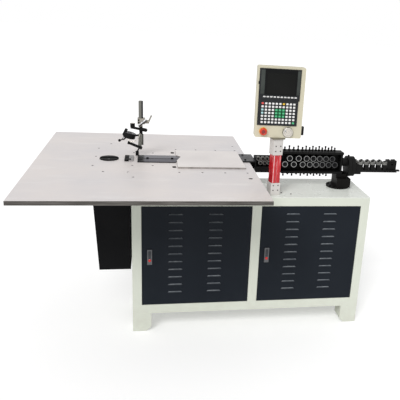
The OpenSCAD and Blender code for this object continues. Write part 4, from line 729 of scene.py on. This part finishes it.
LID = 800  # height of the cabinet's top
table_top = corners("table_plate")[1].z
flat_screws = [b for b in screw_boxes if b[1].z < table_top + 1 and b[0].z > table_top - 10]
foot_screws = [b for b in screw_boxes if 5 < b[0].z - LID < 30 and b[0].x > 500]
plate_screws = [b for b in screw_boxes if 5 < b[0].z - table_top < 12 and b[0].x > 50 and b[0].y > -60]
lid_screws = [b for b in screw_boxes if abs(b[0].z - LID) < 1]
print("table", len(flat_screws), "foot", len(foot_screws), "plate", len(plate_screws), "lid", len(lid_screws))
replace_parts(screws_like("table_screws", flat_screws, black_oxide), "screws")
screws_like("column_screws", foot_screws, black_oxide)
screws_like("bracket_screws", plate_screws, turret_black)
screws_like("lid_screws", lid_screws, black_oxide)

pole_low, pole_high = corners("pendant_pole")
to_pole = Matrix.Translation(((pole_low.x + pole_high.x) / 2, (pole_low.y + pole_high.y) / 2, 0))
pole_turn = Matrix.Rotation(math.radians(12), 4, "Z")
sleeve_screws = [b for b in screw_boxes if b not in flat_screws + foot_screws + plate_screws + lid_screws]
bm = bmesh.new()
add_cap_screw(bm, 3.0, 2.0, pole_turn @ at(0, 1.0, 0, "front"))
on_points("sleeve_screws", [middle(b) for b in sleeve_screws], "machine", pattern_shape(bm, black_oxide))

# %% [markdown]
# ## Adjusting bolts
# Every straightening roller is set by a bolt with a lock nut. The tall and short bolts stand in
# turn above the channel and hang below it. One bolt is turned with a real thread profile, ring
# by ring, and a nut and a cap with a socket are added.

# %% Adjusting bolts
PITCH, CREST, ROOT = 1.4, 4.1, 3.65  # of the thread, millimetres


def bolt_shape(length, top, finish):
    """Threaded stud of a length, with a nut on the channel and a cap at its end."""
    bm = bmesh.new()
    profile, z = [(0, 0), (3.6, 0)], 0.6
    while z < length - 8.8:
        profile += [(CREST, z), (ROOT, z + PITCH / 2)]
        z += PITCH
    cap = [(4.0, -8.2), (4.9, -8), (5.3, -7.4), (5.3, -0.8), (4.6, 0), (2.6, 0), (2.4, -2.5), (0, -2.5)]
    add_turned(bm, profile + [(r, length + w) for r, w in cap], sides=14)
    nut = [(0, 0), (7.4, 0), (8.0, 0.7), (8.0, 5.3), (7.4, 6), (0, 6)]
    add_turned(bm, [(r, length - top + w) for r, w in nut], sides=6)
    return pattern_shape(bm, finish)


channel_low, channel_high = corners("channel")
groups = {}
for box in bolt_boxes:
    above = middle(box).z > middle((channel_low, channel_high)).z
    stands = box[1].z - channel_high.z if above else channel_low.z - box[0].z
    groups.setdefault((above, round(stands)), []).append(box)
bolt_pieces = []
for (above, stands), boxes in groups.items():
    shape = bolt_shape(boxes[0][1].z - boxes[0][0].z, stands, black_oxide)
    start = [(middle(b).x, middle(b).y, b[0].z if above else b[1].z) for b in boxes]
    name = f"bolts_{'above' if above else 'below'}_{stands}"
    bolt_pieces.append(on_points(name, start, "machine", shape, 1.0 if above else -1.0))
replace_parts(bolt_pieces[0], "adjusting_bolts")

# %% [markdown]
# ## Straightening rollers
# Each roller is a hardened ring with a V groove that the wire runs in. Seen from the front it
# shows a narrow bright ring round a dark hub. A profile turned about the axle gives both, with
# one finish for the ground ring and another for the hub. Every ring rides on its own body,
# because every ring turns.

# %% Straightening rollers


def grooved_ring(bm, r, t, hub, place):
    """Ring of radius r and thickness t, hollow inside its hub radius. Finishes: 0 ring, 1 hub."""
    h = t / 2
    half = [(hub, h - 3), (11.6, h - 3), (12, h - 2.6), (12, h - 0.3), (12.3, h), (14.4, h), (r - 1, h), (r, h - 1),
            (r, 3.5), (r - 3, 0.4)]
    paints = [1, 1, 1, 1, 1, 0] + [1] * 7 + [0] + [1] * 6
    add_turned(bm, half + [(u, -w) for u, w in half[::-1]] + half[:1], place, 48, paints)


roller_names = [f"roller_top_{k}" for k in range(1, 8)] + [f"roller_low_{k}" for k in range(1, 9)]
body_of_node = {n: body for body, nodes in frame["record"]["behaviour"]["bodies"].items() for n in nodes}
for node in roller_names:
    low, high = corners(node)
    bm = bmesh.new()
    grooved_ring(bm, (high.x - low.x) / 2, high.y - low.y, 6.3, at(*middle((low, high)), "front"))
    ring = finished(node.replace("roller", "ring"), bm, [ring_steel, dark_steel], body_of_node[node])
    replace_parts(ring, node)
print("straightening rings:", len(roller_names))

# %% [markdown]
# ## Finishes that change over one node
# A few nodes carry more than one finish: the wire guide has a dark nose, a black groove and
# black sight holes, and the turret holds a hard bar between two black halves. The guide's
# groove and sides are dark as painted shade, a thin dark sheet in the groove and under the
# sight holes is painted shade too, and a lighter strip along the guide's back is a painted
# highlight. The face's own middle and direction tell which is which, so no mesh is changed.

# %% Guide, turret and electrics
guide_low, guide_high = corners("wire_guide")
block_low, block_high = corners("cutter_block")
wire_y = (block_low.y + block_high.y) / 2
turret_top = corners("turret")[1].z
NOSE = guide_low.x + 30  # the guide's nose ends here
SIGHTS = (53, 186)  # from the guide's left end to its two sight holes


# the nose, the groove's lower faces and all sides take the dark finish; in the groove and on the sides that dark is
# painted shade
def guide_faces(m, n):
    return int(m.x < NOSE and m.z > guide_low.z + 1 or m.z < guide_high.z - 2 or n.z < 0.5)


nose = height_mask(guide_steel, NOSE, NOSE + 10, "X")
# a lighter strip along the back of the guide's top: painted highlight
back_strip_sheen = height_mask(guide_steel, wire_y + 8, wire_y + 11, "Y")
guide_top_with_sheen = blend_in(guide_steel, back_strip_sheen, (100, 98, 107), (132, 131, 137))
into(guide_steel, blend_in(guide_steel, nose, (30, 28, 33), guide_top_with_sheen), "Base Color")
soften("wire_guide", (guide_steel, guide_dark), 0.5, guide_faces)
soften("turret", (turret_black, bar_steel), 0.6, lambda m, n: int(abs(m.y - wire_y) < 9.45 and m.z > turret_top - 8))
soften("exit_unit", (cast_paint, plate_grey), 0.5, lambda m, n: int(n.z > 0.7 and m.x < 130 and m.z > table_top + 2))
plate_back = corners("control_panel")[1].y
soften("control_panel", (board_grey, dark_plastic, drive_metal), 1.2,
       lambda m, n: 0 if m.y > plate_back - 6 else 1 + int(m.z * 0.011) % 2)
# a thin dark sheet in the guide's groove and under its sight holes: painted shade
bm = bmesh.new()
add_box(bm, (guide_low.x + 1, wire_y - 7, guide_low.z), (guide_high.x - 26, wire_y + 7, guide_low.z + 0.5), 0)
finished("guide_floor", bm, [guide_dark])
bm = bmesh.new()
add_cap_screw(bm, 6.0, 4.5, at(block_high.x - 17, block_low.y + 11, block_high.z - 0.4))
finished("cutter_screw", bm, [turret_black])
bm = bmesh.new()
for x in SIGHTS:
    add_turned(bm, [(4.2, -4), (6.9, -4), (6.9, 2.6), (6.3, 3.2), (4.8, 3.2), (4.2, 2.6), (4.2, -4)],
               at(guide_low.x + x, wire_y, guide_high.z), 28)
finished("sight_bushes", bm, [turret_black])
print("wire at y", round(wire_y, 1), "guide top", round(guide_high.z, 1))

# %% [markdown]
# ## Doors
# Each door is a folded sheet with two columns of louvres. A louvre is cut along its lower edge
# and pressed out, so it is round at both ends and open below, and the slot behind it is real.
# The sheet is a grid of cells with the slots and the lock's window left out, and one hood is
# modelled and set over every slot by Geometry Nodes. The lock body is the CAD solid, copied.

# %% Doors
COLUMNS, TOP_ROW, ROW_PITCH, ROWS = (179, 395), 697, 46, 11  # of the louvres
SLOT = (-36, 36, 0.5, 6.5)  # the cut behind a louvre, from the louvre's place
LOCK_RISE, WINDOW = 18.5, (10, 41)  # lock's middle above its button, half size of its window


def add_pierced_sheet(bm, xs, zs, holes, y, thick):
    """Upright sheet that is left open at the holes (x0, x1, z0, z1)."""
    xs = sorted({*xs, *(v for h in holes for v in h[:2])})
    zs = sorted({*zs, *(v for h in holes for v in h[2:])})
    cells = {(i, k) for i in range(len(xs) - 1) for k in range(len(zs) - 1)
             if not any(h[0] <= xs[i] and xs[i + 1] <= h[1] and h[2] <= zs[k] and zs[k + 1] <= h[3] for h in holes)}
    made = {}

    def corner(i, k, depth):
        if (i, k, depth) not in made:
            made[i, k, depth] = bm.verts.new((xs[i], y + depth * thick, zs[k]))
        return made[i, k, depth]

    for i, k in cells:
        around = ((i, k), (i + 1, k), (i + 1, k + 1), (i, k + 1))
        bm.faces.new([corner(*c, 0) for c in around])
        bm.faces.new([corner(*c, 1) for c in around[:1] + around[:0:-1]])
        for a, b, other in zip(around, around[1:] + around[:1], ((i, k - 1), (i + 1, k), (i, k + 1), (i - 1, k))):
            if other not in cells:
                bm.faces.new((corner(*a, 0), corner(*a, 1), corner(*b, 1), corner(*b, 0)))


def louvre_shape(width, high, out):
    """Pressed hood, open below, rounded in section and at both ends."""
    wall, end = 1.0, 10  # thickness of the sheet and length of a round end
    bm = bmesh.new()
    places = [-width / 2 + end * (1 - math.cos(t)) for t in (0.12, 0.5, 0.9, 1.25, math.pi / 2)]
    rows = []
    for x in places + [-x for x in places[::-1]]:
        reach = max(0, (end - (width / 2 - abs(x))) / end)
        size = max(0.12, math.sqrt(max(0, 1 - reach * reach)))
        rows.append([bm.verts.new((x, -(out * size - shrink * size) * math.cos(a * math.pi / 10),
                                   (high * size - shrink * size) * math.sin(a * math.pi / 10)))
                     for shrink, angles in ((0, range(0, 6)), (wall, range(5, -1, -1))) for a in angles])
    bridge(bm, rows)
    bm.faces.new(rows[0])
    bm.faces.new(rows[-1][::-1])
    return pattern_shape(bm, louvre_paint)


front_y = corners("front_frame")[0].y
hood = louvre_shape(80, 9, 6)
for side in ("left", "right"):
    node = "door_" + side
    low, high = corners(node)
    lock = corners("lock_button_" + side)
    lock_x, lock_z = (lock[0].x + lock[1].x) / 2, (lock[0].z + lock[1].z) / 2 + LOCK_RISE
    rows = [(low.x + column, TOP_ROW - ROW_PITCH * k) for column in COLUMNS for k in range(ROWS)]
    holes = [(x + SLOT[0], x + SLOT[1], z + SLOT[2], z + SLOT[3]) for x, z in rows]
    holes.append((lock_x - WINDOW[0], lock_x + WINDOW[0], lock_z - WINDOW[1], lock_z + WINDOW[1]))
    bm = bmesh.new()
    add_pierced_sheet(bm, (low.x, high.x), (low.z, high.z), holes, front_y, 2.0)
    for a, b in (((low.x, low.z), (low.x + 2, high.z)), ((high.x - 2, low.z), (high.x, high.z)),
                 ((low.x + 2, low.z), (high.x - 2, low.z + 2)), ((low.x + 2, high.z - 2), (high.x - 2, high.z))):
        add_box(bm, (a[0], front_y + 1.9, a[1]), (b[0], front_y + 14, b[1]), 0.4)
    for z in (low.z + 2, high.z - 35):
        add_box(bm, (high.x - 18, front_y + 2, z), (high.x - 2, front_y + 13.5, z + 33), 0.8)
    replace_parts(finished("sheet_" + side, bm, [door_paint], node), node)
    on_points("louvres_" + side, [(x, front_y + 0.2, z) for x, z in rows], node, hood)
    bm = bmesh.new()
    add_copy(bm, node, lambda a, b: b.x - a.x < 40, 0.9)
    handle_y = corners("lock_handle_" + side)[0].y
    add_box(bm, (lock_x - 9, handle_y + 2, lock_z + 37), (lock_x + 9, front_y, lock_z + 42.4), 0.6, 1)
    finished("lock_body_" + side, bm, [lock_plate, lock_cap], node)
    print(node, "lock at", round(lock_x, 1), round(lock_z, 1), "louvres", len(rows))

# %% [markdown]
# ## The pendant
# The pendant turns on the pole, and in the photo it stands at an angle of its own. All its
# pieces are built in the case's own directions, u to the right and v to the back, and one
# matrix puts them on the machine. The panel keeps its CAD solid. On it lie a black bezel that
# frames the screen, two grey strips, the membrane keys and the latch.

# %% Pendant panel, bezel and keys
case_turn = Matrix.Rotation(math.radians(-3), 4, "Z")
on_case = to_pole @ case_turn
from_case = on_case.inverted()
case_low, case_high = corners("pendant_case")
pendant = body_of_node["pendant_case"]
knobs_z, panel_top, panel_v = case_low.z + 32.5, case_high.z - 12, -29.0
KEYS_U, KEYS_DOWN, KEY_PITCH, ROW_STEP = -8.1, 180, 18.8, 16.6  # middle, top row and pitches of the keys


def panel_faces(m, n):
    local = from_case @ m
    return 1 if local.z < knobs_z + 24 and local.x < 0 else 2 if local.x > 120 else 0


soften("pendant_panel", (panel_dark, collar_yellow, dark_plastic), 0.7, panel_faces)
soften("pendant_case", case_paint, 2.6)  # a second time: the moulded case is rounder than the rest


def on_panel(u, z, v=panel_v, out=0.0):
    """A place on the panel, or out in front of it, whose w axis looks out of it."""
    return on_case @ Matrix.Translation((u, v, z)) @ TO_FRONT @ Matrix.Translation((0, 0, out))


def rounded_outline(w, h, r, n=4, u=0, v=0):
    """Outline of a rounded rectangle about (u, v), each corner in n steps."""
    turns = [(w / 2 - r, h / 2 - r, 0), (r - w / 2, h / 2 - r, 1), (r - w / 2, r - h / 2, 2), (w / 2 - r, r - h / 2, 3)]
    return [(x + r * math.cos(a) + u, y + r * math.sin(a) + v) for x, y, q in turns
            for a in (math.pi / 2 * (q + i / n) for i in range(n + 1))]


bm = bmesh.new()
outer, inner = rounded_outline(170, 134, 3, u=-2, v=1), rounded_outline(152, 108, 2, u=-1, v=-7)
rings = add_rings(bm, ((outer, 0), (outer, 1.4), (inner, 1.4), (inner, 0)))
bridge(bm, rings, closed=True)
move(bm, rings, on_panel(0, panel_top - 69))
finished("screen_bezel", bm, [panel_black], pendant)
bm = bmesh.new()
for u, w in ((-98.5, 21), (90.5, 18)):
    add_slab(bm, rounded_outline(w, 123, 2), 0.9, on_panel(u, panel_top - 69.5, out=0.8), 0.4)
finished("panel_strips", bm, [strip_grey], pendant)
bm = bmesh.new()
add_slab(bm, rounded_outline(5, 15, 2), 5, on_panel(-118.5, panel_top - 74, out=1.6), 0.8)
finished("panel_latch", bm, [dark_plastic], pendant)


def key_shape(w, h, finish):
    """Membrane key: a low cushion with rounded corners."""
    bm = bmesh.new()
    rings = add_rings(bm, [(rounded_outline(w - 2 * inset, h - 2 * inset, 2.6 - inset * 0.5, 3), z)
                           for inset, z in ((0, -0.4), (0, 0.5), (0.8, 1.15), (2.2, 1.4))])
    bridge(bm, rings)
    bm.faces.new(rings[-1])
    bm.faces.new(rings[0][::-1])
    move(bm, rings, case_turn @ TO_FRONT)
    return pattern_shape(bm, finish)


# keys that aren't white, by row and column
coloured = {(0, 0): key_red, (0, 6): key_yellow, (6, 9): key_green, (2, 0): key_aqua, (3, 0): key_aqua,
            **{(r, c): key_green for r in (2, 3, 4) for c in (4, 5, 6)}}
keys = {}
for c in range(10):
    for r in range(7):
        place = Vector((KEYS_U + (c - 4.5) * KEY_PITCH, panel_v, panel_top - KEYS_DOWN - ROW_STEP * r))
        keys.setdefault(coloured.get((r, c), key_white), []).append(on_case @ place)
for finish, places in keys.items():
    made = on_points(finish.name + "s", places, pendant, key_shape(12, 10, finish))
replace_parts(made, "pendant_keys")
soft = [on_case @ Vector((-3.1 + (c - 4.5) * 18.55, panel_v, panel_top - 145)) for c in range(10)]
on_points("soft_keys", soft, pendant, key_shape(13.5, 6.5, key_white))
bm = bmesh.new()
field = on_panel(KEYS_U + KEY_PITCH / 2, panel_top - KEYS_DOWN - 3 * ROW_STEP, out=0.3)
add_slab(bm, rounded_outline(56, 50, 3), 0.5, field, 0.2)
finished("green_field", bm, [field_green], pendant)

# %% [markdown]
# ## Stop button and handwheel
# The emergency stop is a mushroom with a sunk centre and three raised arrows round it. The
# handwheel is a turned disc with a knurled rim, a ring of division marks, a crank knob and a
# dark base. Rims, marks and arrows are rings of one small shape.

# %% Stop button and handwheel
stop_front = from_case @ corners("stop_button")[0]
stop, handwheel = body_of_node["stop_button"], body_of_node["handwheel"]
stop_at, wheel_at = on_panel(-81, knobs_z, -33.3), on_panel(52, knobs_z, -25)
bm = bmesh.new()
add_turned(bm, [(0, -22), (7, -22), (7, 0), (19.4, 0.1), (20, 0.9), (19.6, 7), (18.6, 10.5), (16.4, 12.6), (12.4, 13),
                (10.6, 12.4), (9.6, 11.2), (4, 11.0), (0, 11.0)], stop_at, 56, [0] * 9 + [1] * 3)
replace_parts(finished("stop_mushroom", bm, [stop_red, stop_core], stop, 40), "stop_button")
arrow = box_shape((-0.9, -3.4, -0.4), (0.9, 3.4, 0.5), 0.3, stop_core)
on_ring("stop_arrows", stop, arrow, 3, 14.2, stop_at @ Vector((0, 0, 12.9)), stop_at.to_euler())
bm = bmesh.new()
add_turned(bm, [(0, -19.5), (6, -19.5), (6, 0.2), (26.6, 0.4), (27.4, 1.2), (27.4, 4.0), (26, 4.2)], wheel_at, 64)
add_turned(bm, [(26, 4.2), (27.1, 4.6), (27.1, 10.8), (26.2, 12), (24.6, 12.6), (22.4, 12.6), (21.6, 11.6), (9.6, 11.6),
                (9, 12.8), (3, 13.2), (0, 13.2)], wheel_at, 64, [0] * 3 + [1] * 7)
add_turned(bm, [(5.4, 11.4), (5.0, 13.4), (3.4, 14.2), (4.4, 15.6), (4.6, 20.4), (3.4, 22), (0, 22.2)],
           wheel_at @ Matrix.Translation((-15, 8, 0)), 28, [2] * 6)
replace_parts(finished("wheel_disc", bm, [dark_plastic, satin_nickel, chrome], handwheel, 40), "handwheel")
tilt = wheel_at.to_euler()
knurl = box_shape((-0.5, -0.45, 4.8), (0.45, 0.45, 10.8), 0.2, dark_plastic)
on_ring("wheel_knurls", handwheel, knurl, 72, 27.1, wheel_at.translation, tilt)
mark = box_shape((-1.6, -0.25, -0.3), (1.6, 0.25, 0.12), 0.0, dark_plastic)
on_ring("wheel_marks", handwheel, mark, 50, 18.6, wheel_at @ Vector((0, 0, 11.6)), tilt)
print("stop front at v", round(stop_front.y, 1), "knobs at", round(knobs_z, 1))

# %% [markdown]
# ## Pole and film
# The square tube stands in two clamp sleeves. Between them it still wears the red film it was
# delivered in. The film is a closed skin just off the tube, with rounded corners, and a noise
# field moves its points in and out so that it looks loosely wrapped.

# %% Pole and film
FILM_WIDTH, LEVELS = 49.2, 44  # across the film, and its steps from the lower to the upper edge
on_pole = to_pole @ pole_turn
sleeves = solids_of("pole_sleeves")
sleeve_top = max(b[1].z for b in sleeves)
film_low = min(b[1].z for b in sleeves) + 0.5
film_high = max(b[0].z for b in sleeves) - 0.5
soften("pendant_pole", (sleeve_paint, flange_paint), 0.6, lambda m, n: int(m.z > sleeve_top + 0.5))


def folds(u, v, z):
    """How far the film stands off the tube: broad folds and small ones, in millimetres."""
    broad = noise.noise(Vector((u * 0.11, v * 0.11, z * 0.032))) * 1.5
    return broad + noise.noise(Vector((u * 0.3, v * 0.3, z * 0.09 + 7))) * 0.7


bm = bmesh.new()
outline = divided(rounded_outline(FILM_WIDTH, FILM_WIDTH, 3.2, 3), 4)
rings = []
for level in range(LEVELS + 1):
    z = film_low + (film_high - film_low) * level / LEVELS
    swell = [1 + max(-0.9, folds(u, v, z)) / 26 for u, v in outline]
    rings.append([bm.verts.new(on_pole @ Vector((u * s, v * s, z))) for (u, v), s in zip(outline, swell)])
bridge(bm, rings)
bm.faces.new(rings[0][::-1])
bm.faces.new(rings[-1])
finished("pole_film", bm, [red_film], sharp=60)
print("film from", round(film_low), "to", round(film_high), "mm")

# %% [markdown]
# ## Small rollers
# The entry unit's rollers stand upright in two rows, and those of the exit unit lie behind the
# pole. Each row is one turned ring with a groove, set down by Geometry Nodes at the CAD's places.

# %% Small rollers


def small_ring(r, t, bore, groove, facing):
    bm = bmesh.new()
    h = t / 2
    half = [(bore, h), (r - 0.8, h), (r, h - 0.8), (r, groove)]
    profile = half + [(r - groove + 0.5, 0)] + [(u, -w) for u, w in half[::-1]] + half[:1]
    add_turned(bm, profile, at(0, 0, 0, facing), 36)
    return pattern_shape(bm, small_ring_steel)


entry_rings = [b for b in ring_boxes if b[0].x > 600]
exit_rings = [b for b in ring_boxes if b[0].x < 600]
size = entry_rings[0][1] - entry_rings[0][0]
ring = small_ring(size.x / 2, size.z, 5.4, 3.0, "up")
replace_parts(on_points("entry_rings", [middle(b) for b in entry_rings], "machine", ring), "guide_rollers")
size = exit_rings[0][1] - exit_rings[0][0]
ring = small_ring(size.x / 2, size.y, 4.4, 2.0, "front")
on_points("exit_rings", [middle(b) for b in exit_rings], "machine", ring)

# %% [markdown]
# ## The holder arm
# The arm is a stack of cast and turned parts: black bars with knob ends, a grey link, a drum, a
# pale clamp with a bright rod and a square post. The lower group is built anew from rods, boxes
# and one turned drum, all set out from one point of the link, and a chrome rod laid beside its
# dark handle is a painted highlight of the handle's lit side. The upper solids have the right
# shapes, so their faces are given the finish of the piece they belong to, but the bright rod's
# lower side and the post's right side are painted darker as shade. A dark bar, two clamp
# screws, ridges round the knob and the thin bent rod under the drum are added.

# %% Holder arm
LINK = Vector((-518.7, 116.0, 997.0))  # lower end of the link
UP = 86  # from the link's lower end to its upper end


def add_rod(bm, a, b, r, end, paint=0):
    """Round rod from a to b, with its rims rounded over a length of end."""
    length = (b - a).length
    place = Matrix.Translation(a) @ (b - a).to_track_quat("Z", "Y").to_matrix().to_4x4()
    rim = [(r * math.sin(t), end * (1 - math.cos(t))) for t in (0.0, 0.5, 1.0, math.pi / 2)]
    profile = rim + [(u, length - w) for u, w in rim[::-1]]
    add_turned(bm, profile, place, 24, [paint] * len(profile))


def by_link(x, y, z):
    """A place given from the link's lower end."""
    return Vector((LINK.x + x, LINK.y + y, LINK.z + z))


def upper_faces(m, n):
    """Finish of the upper solids: 0 black, 1 clamp, 2 bright rod, 3 knob's top, 4 rod's shaded side."""
    if m.z > 1126 and -517 < m.x < -440:
        rod = (m - Vector((-511.2, 94, 1120))).cross(Vector((44, 0, 35)).normalized()).length
        return (2 if n.z > -0.1 else 4) if rod < 7.8 and m.y < 103 else 1
    if abs(m.z - 1133) < 0.6 and m.x < -525 and n.z > 0.7:
        return 3
    return int(m.z > 1110 and m.x > -515)


upper, lower = body_of_node["arm_upper"], body_of_node["arm_lower"]
bm = bmesh.new()
for y0, y1 in ((-9.4, -4.4), (4.4, 9.4)):
    add_rod(bm, by_link(15, y0, 0), by_link(15, y1, 0), 9, 0.5)
    add_box(bm, by_link(6, y0, 0), by_link(24, y1, 30), 1, 2)
add_box(bm, by_link(7.5, -5.4, 12), by_link(31, 5.4, UP - 12), 1.5, 2)
add_box(bm, by_link(29, -6, 12), by_link(34.5, 5.4, UP - 12), 1.5)
add_box(bm, by_link(12.5, -4, UP - 14), by_link(30.5, 4, UP - 5))
eye = [(3.4, 0), (8.5, 0), (9, 0.5), (9, 7.5), (8.5, 8), (3.4, 8), (3.4, 0)]
add_turned(bm, eye, at(*by_link(21.5, 4, UP), "front"), 28)
bar = by_link(-47, -14, 26.5), by_link(24, -14, -3.5)
add_rod(bm, *bar, 7.4, 2)
for a, b in (bar, bar[::-1]):
    way = (b - a).normalized()
    add_rod(bm, a - way * 4, a + way * 9, 9.4, 3.5)
drum = Matrix.Translation(by_link(-40, -4, 70)) @ Matrix.Rotation(math.radians(13), 4, "Y")
add_turned(bm, [(0, -19), (31, -19), (33.5, -16.5), (33.5, -8), (32.4, -7.5), (32.4, -6), (33.5, -5.5), (33.5, 8),
                (31.6, 10.4), (26, 12), (25, 11), (11, 11.4), (10, 14.4), (8.6, 15.4), (0, 15.6)],
           drum, 48, [0] * 8 + [1] * 6)
# in this table the chrome rod of radius 5.4 laid beside the dark handle rod stands for the handle's lit side: a painted
# highlight
for a, b, radius, end, paint in (
        ((15, -5, 0), (15, 5, 0), 3, 0.2, 0), ((-28.5, -0.5, 62), (12, -0.5, 66), 5, 1.0, 0),
        ((-54, -12, 104), (-73, -12, 66), 8, 4, 0), ((-50, -16, 69), (-77, -16, 43.5), 7.6, 1.5, 0),
        ((-51, -20, 73), (-76, -20, 49), 5.4, 1.5, 3), ((-75, -16, 45), (-92, -16, 38.5), 3, 1.0, 0),
        ((-86.4, -16, 41), (-101, -16, 35), 7.8, 7.6, 0)):
    add_rod(bm, by_link(*a), by_link(*b), radius, end, paint)
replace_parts(finished("arm_link", bm, [black_oxide, drum_steel, post_steel, chrome], lower), "arm_lower")
soften("arm_upper", (black_oxide, clamp_steel, chrome, satin_nickel, dark_steel), 0.5, upper_faces)
# faces of the post that look to the right take the darker bar_steel: painted shade on its side away from the light
soften("arm_post", (post_steel, bar_steel), 0.8, lambda m, n: int(n.x > 0.4))
bm = bmesh.new()
thick = by_link(11, -14, UP + 19)
add_rod(bm, thick, thick + Vector((90, 0, -16)).normalized() * 43, 9.8, 2.5)
finished("arm_grips", bm, [black_oxide], upper)
bm = bmesh.new()
for z in (1138, 1151):
    add_cap_screw(bm, 4.2, 4.0, at(-509, 98, z, "front"))
finished("clamp_screws", bm, [black_oxide], upper)
ridge = box_shape((-0.8, -0.7, 1), (0.8, 0.7, 20), 0.3, dark_plastic)
on_ring("knob_ridges", upper, ridge, 24, 12, Vector((-541.7, 101.6, 1111.5)), (0, 0, 0))
rod = bpy.data.curves.new("bent_rod", "CURVE")
rod.dimensions, rod.bevel_depth, rod.bevel_resolution, rod.use_fill_caps = "3D", 2.0 * MM, 3, True
line = rod.splines.new("BEZIER")
line.bezier_points.add(3)
for point, place in zip(line.bezier_points, ((-566, 88, 1054), (-556, 76, 1036), (-527, 74, 1041), (-500, 112, 1072))):
    point.co = Vector(place) * MM
    point.handle_left_type = point.handle_right_type = "AUTO"
mesh = made_real(in_scene("bent_rod", rod))
mesh.materials.append(satin_nickel)
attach(in_scene("bent_rod", mesh), lower)
print("arm pieces ride on", lower, "and", upper)

# %% [markdown]
# ## Cooling fins
# Behind the doors the drives have cooling fins. One thin fin is repeated along the front of each
# of the two biggest boxes.

# %% Cooling fins
FIN_PITCH = 7
boxes = sorted(solids_of("control_panel"), key=lambda b: -(b[1].x - b[0].x) * (b[1].z - b[0].z))[1:3]
for number, (low, high) in enumerate(boxes):
    fin = box_shape((-0.8, -3.2, 0), (0.8, 0.4, high.z - low.z - 24), 0.3, drive_metal)
    count = int((high.x - low.x - 20) / FIN_PITCH) + 1
    on_points(f"fins_{number}", [(low.x + 10 + FIN_PITCH * i, low.y, low.z + 12) for i in range(count)], "machine", fin)

# %% [markdown]
# ## The pieces that this lesson adds
# The record names the finishes of the part, so that it can be repainted. Every piece that this
# lesson adds is counted, and the name of its first finish is read.

# %% Added pieces
added = [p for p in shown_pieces() if p.name not in frame["nodes"]]
for piece in added:
    finish = piece.data.materials[0].name.split(".")[0]
print("pieces added:", len(added))

# %% [markdown]
# ## Light and floor
# A pale floor and an even white surround light the machine at the level at which a colour looks
# as it was written, and a large soft sun from the upper left gives the shapes their shade. The
# camera sees the surround as plain white.

# %% Light and floor
WHITE, FAR = (1, 1, 1, 1), 40  # the floor reaches FAR metres to each side
bpy.context.scene.view_settings.view_transform = "Standard"
floor_mesh = bpy.data.meshes.new("floor")
ends = ((-FAR, -FAR), (FAR, -FAR), (FAR, FAR), (-FAR, FAR))
floor_mesh.from_pydata([(x, y, -MM) for x, y in ends], [], [(0, 1, 2, 3)])
in_scene("floor", floor_mesh)
pale = new_finish("pale_floor", (236, 236, 236), 0.9, glint=0.0)
seen_by = node_of(pale, "ShaderNodeLightPath")
into(pale, calc(pale, "MULTIPLY", seen_by.outputs["Is Camera Ray"], 0.30), "Emission Strength")
pale.node_tree.nodes["Principled BSDF"].inputs["Emission Color"].default_value = WHITE
floor_mesh.materials.append(pale)

world = bpy.data.worlds.new("studio")
bpy.context.scene.world = world
world.use_nodes = True
tree = world.node_tree
background = tree.nodes["Background"]
background.inputs["Color"].default_value = WHITE
path, level = tree.nodes.new("ShaderNodeLightPath"), tree.nodes.new("ShaderNodeMapRange")
level.inputs["To Min"].default_value, level.inputs["To Max"].default_value = 0.65, 1.0
wire(tree, (path, "Is Camera Ray", level, "Value"), (level, "Result", background, "Strength"))

sun = in_scene("sun", bpy.data.lights.new("sun", "SUN"))
sun.data.energy = 1.6
sun.data.angle = math.radians(24)
sun.rotation_euler = Vector((-0.5, -0.85, 0.85)).to_track_quat("Z", "Y").to_euler()

# %% One more import
import json
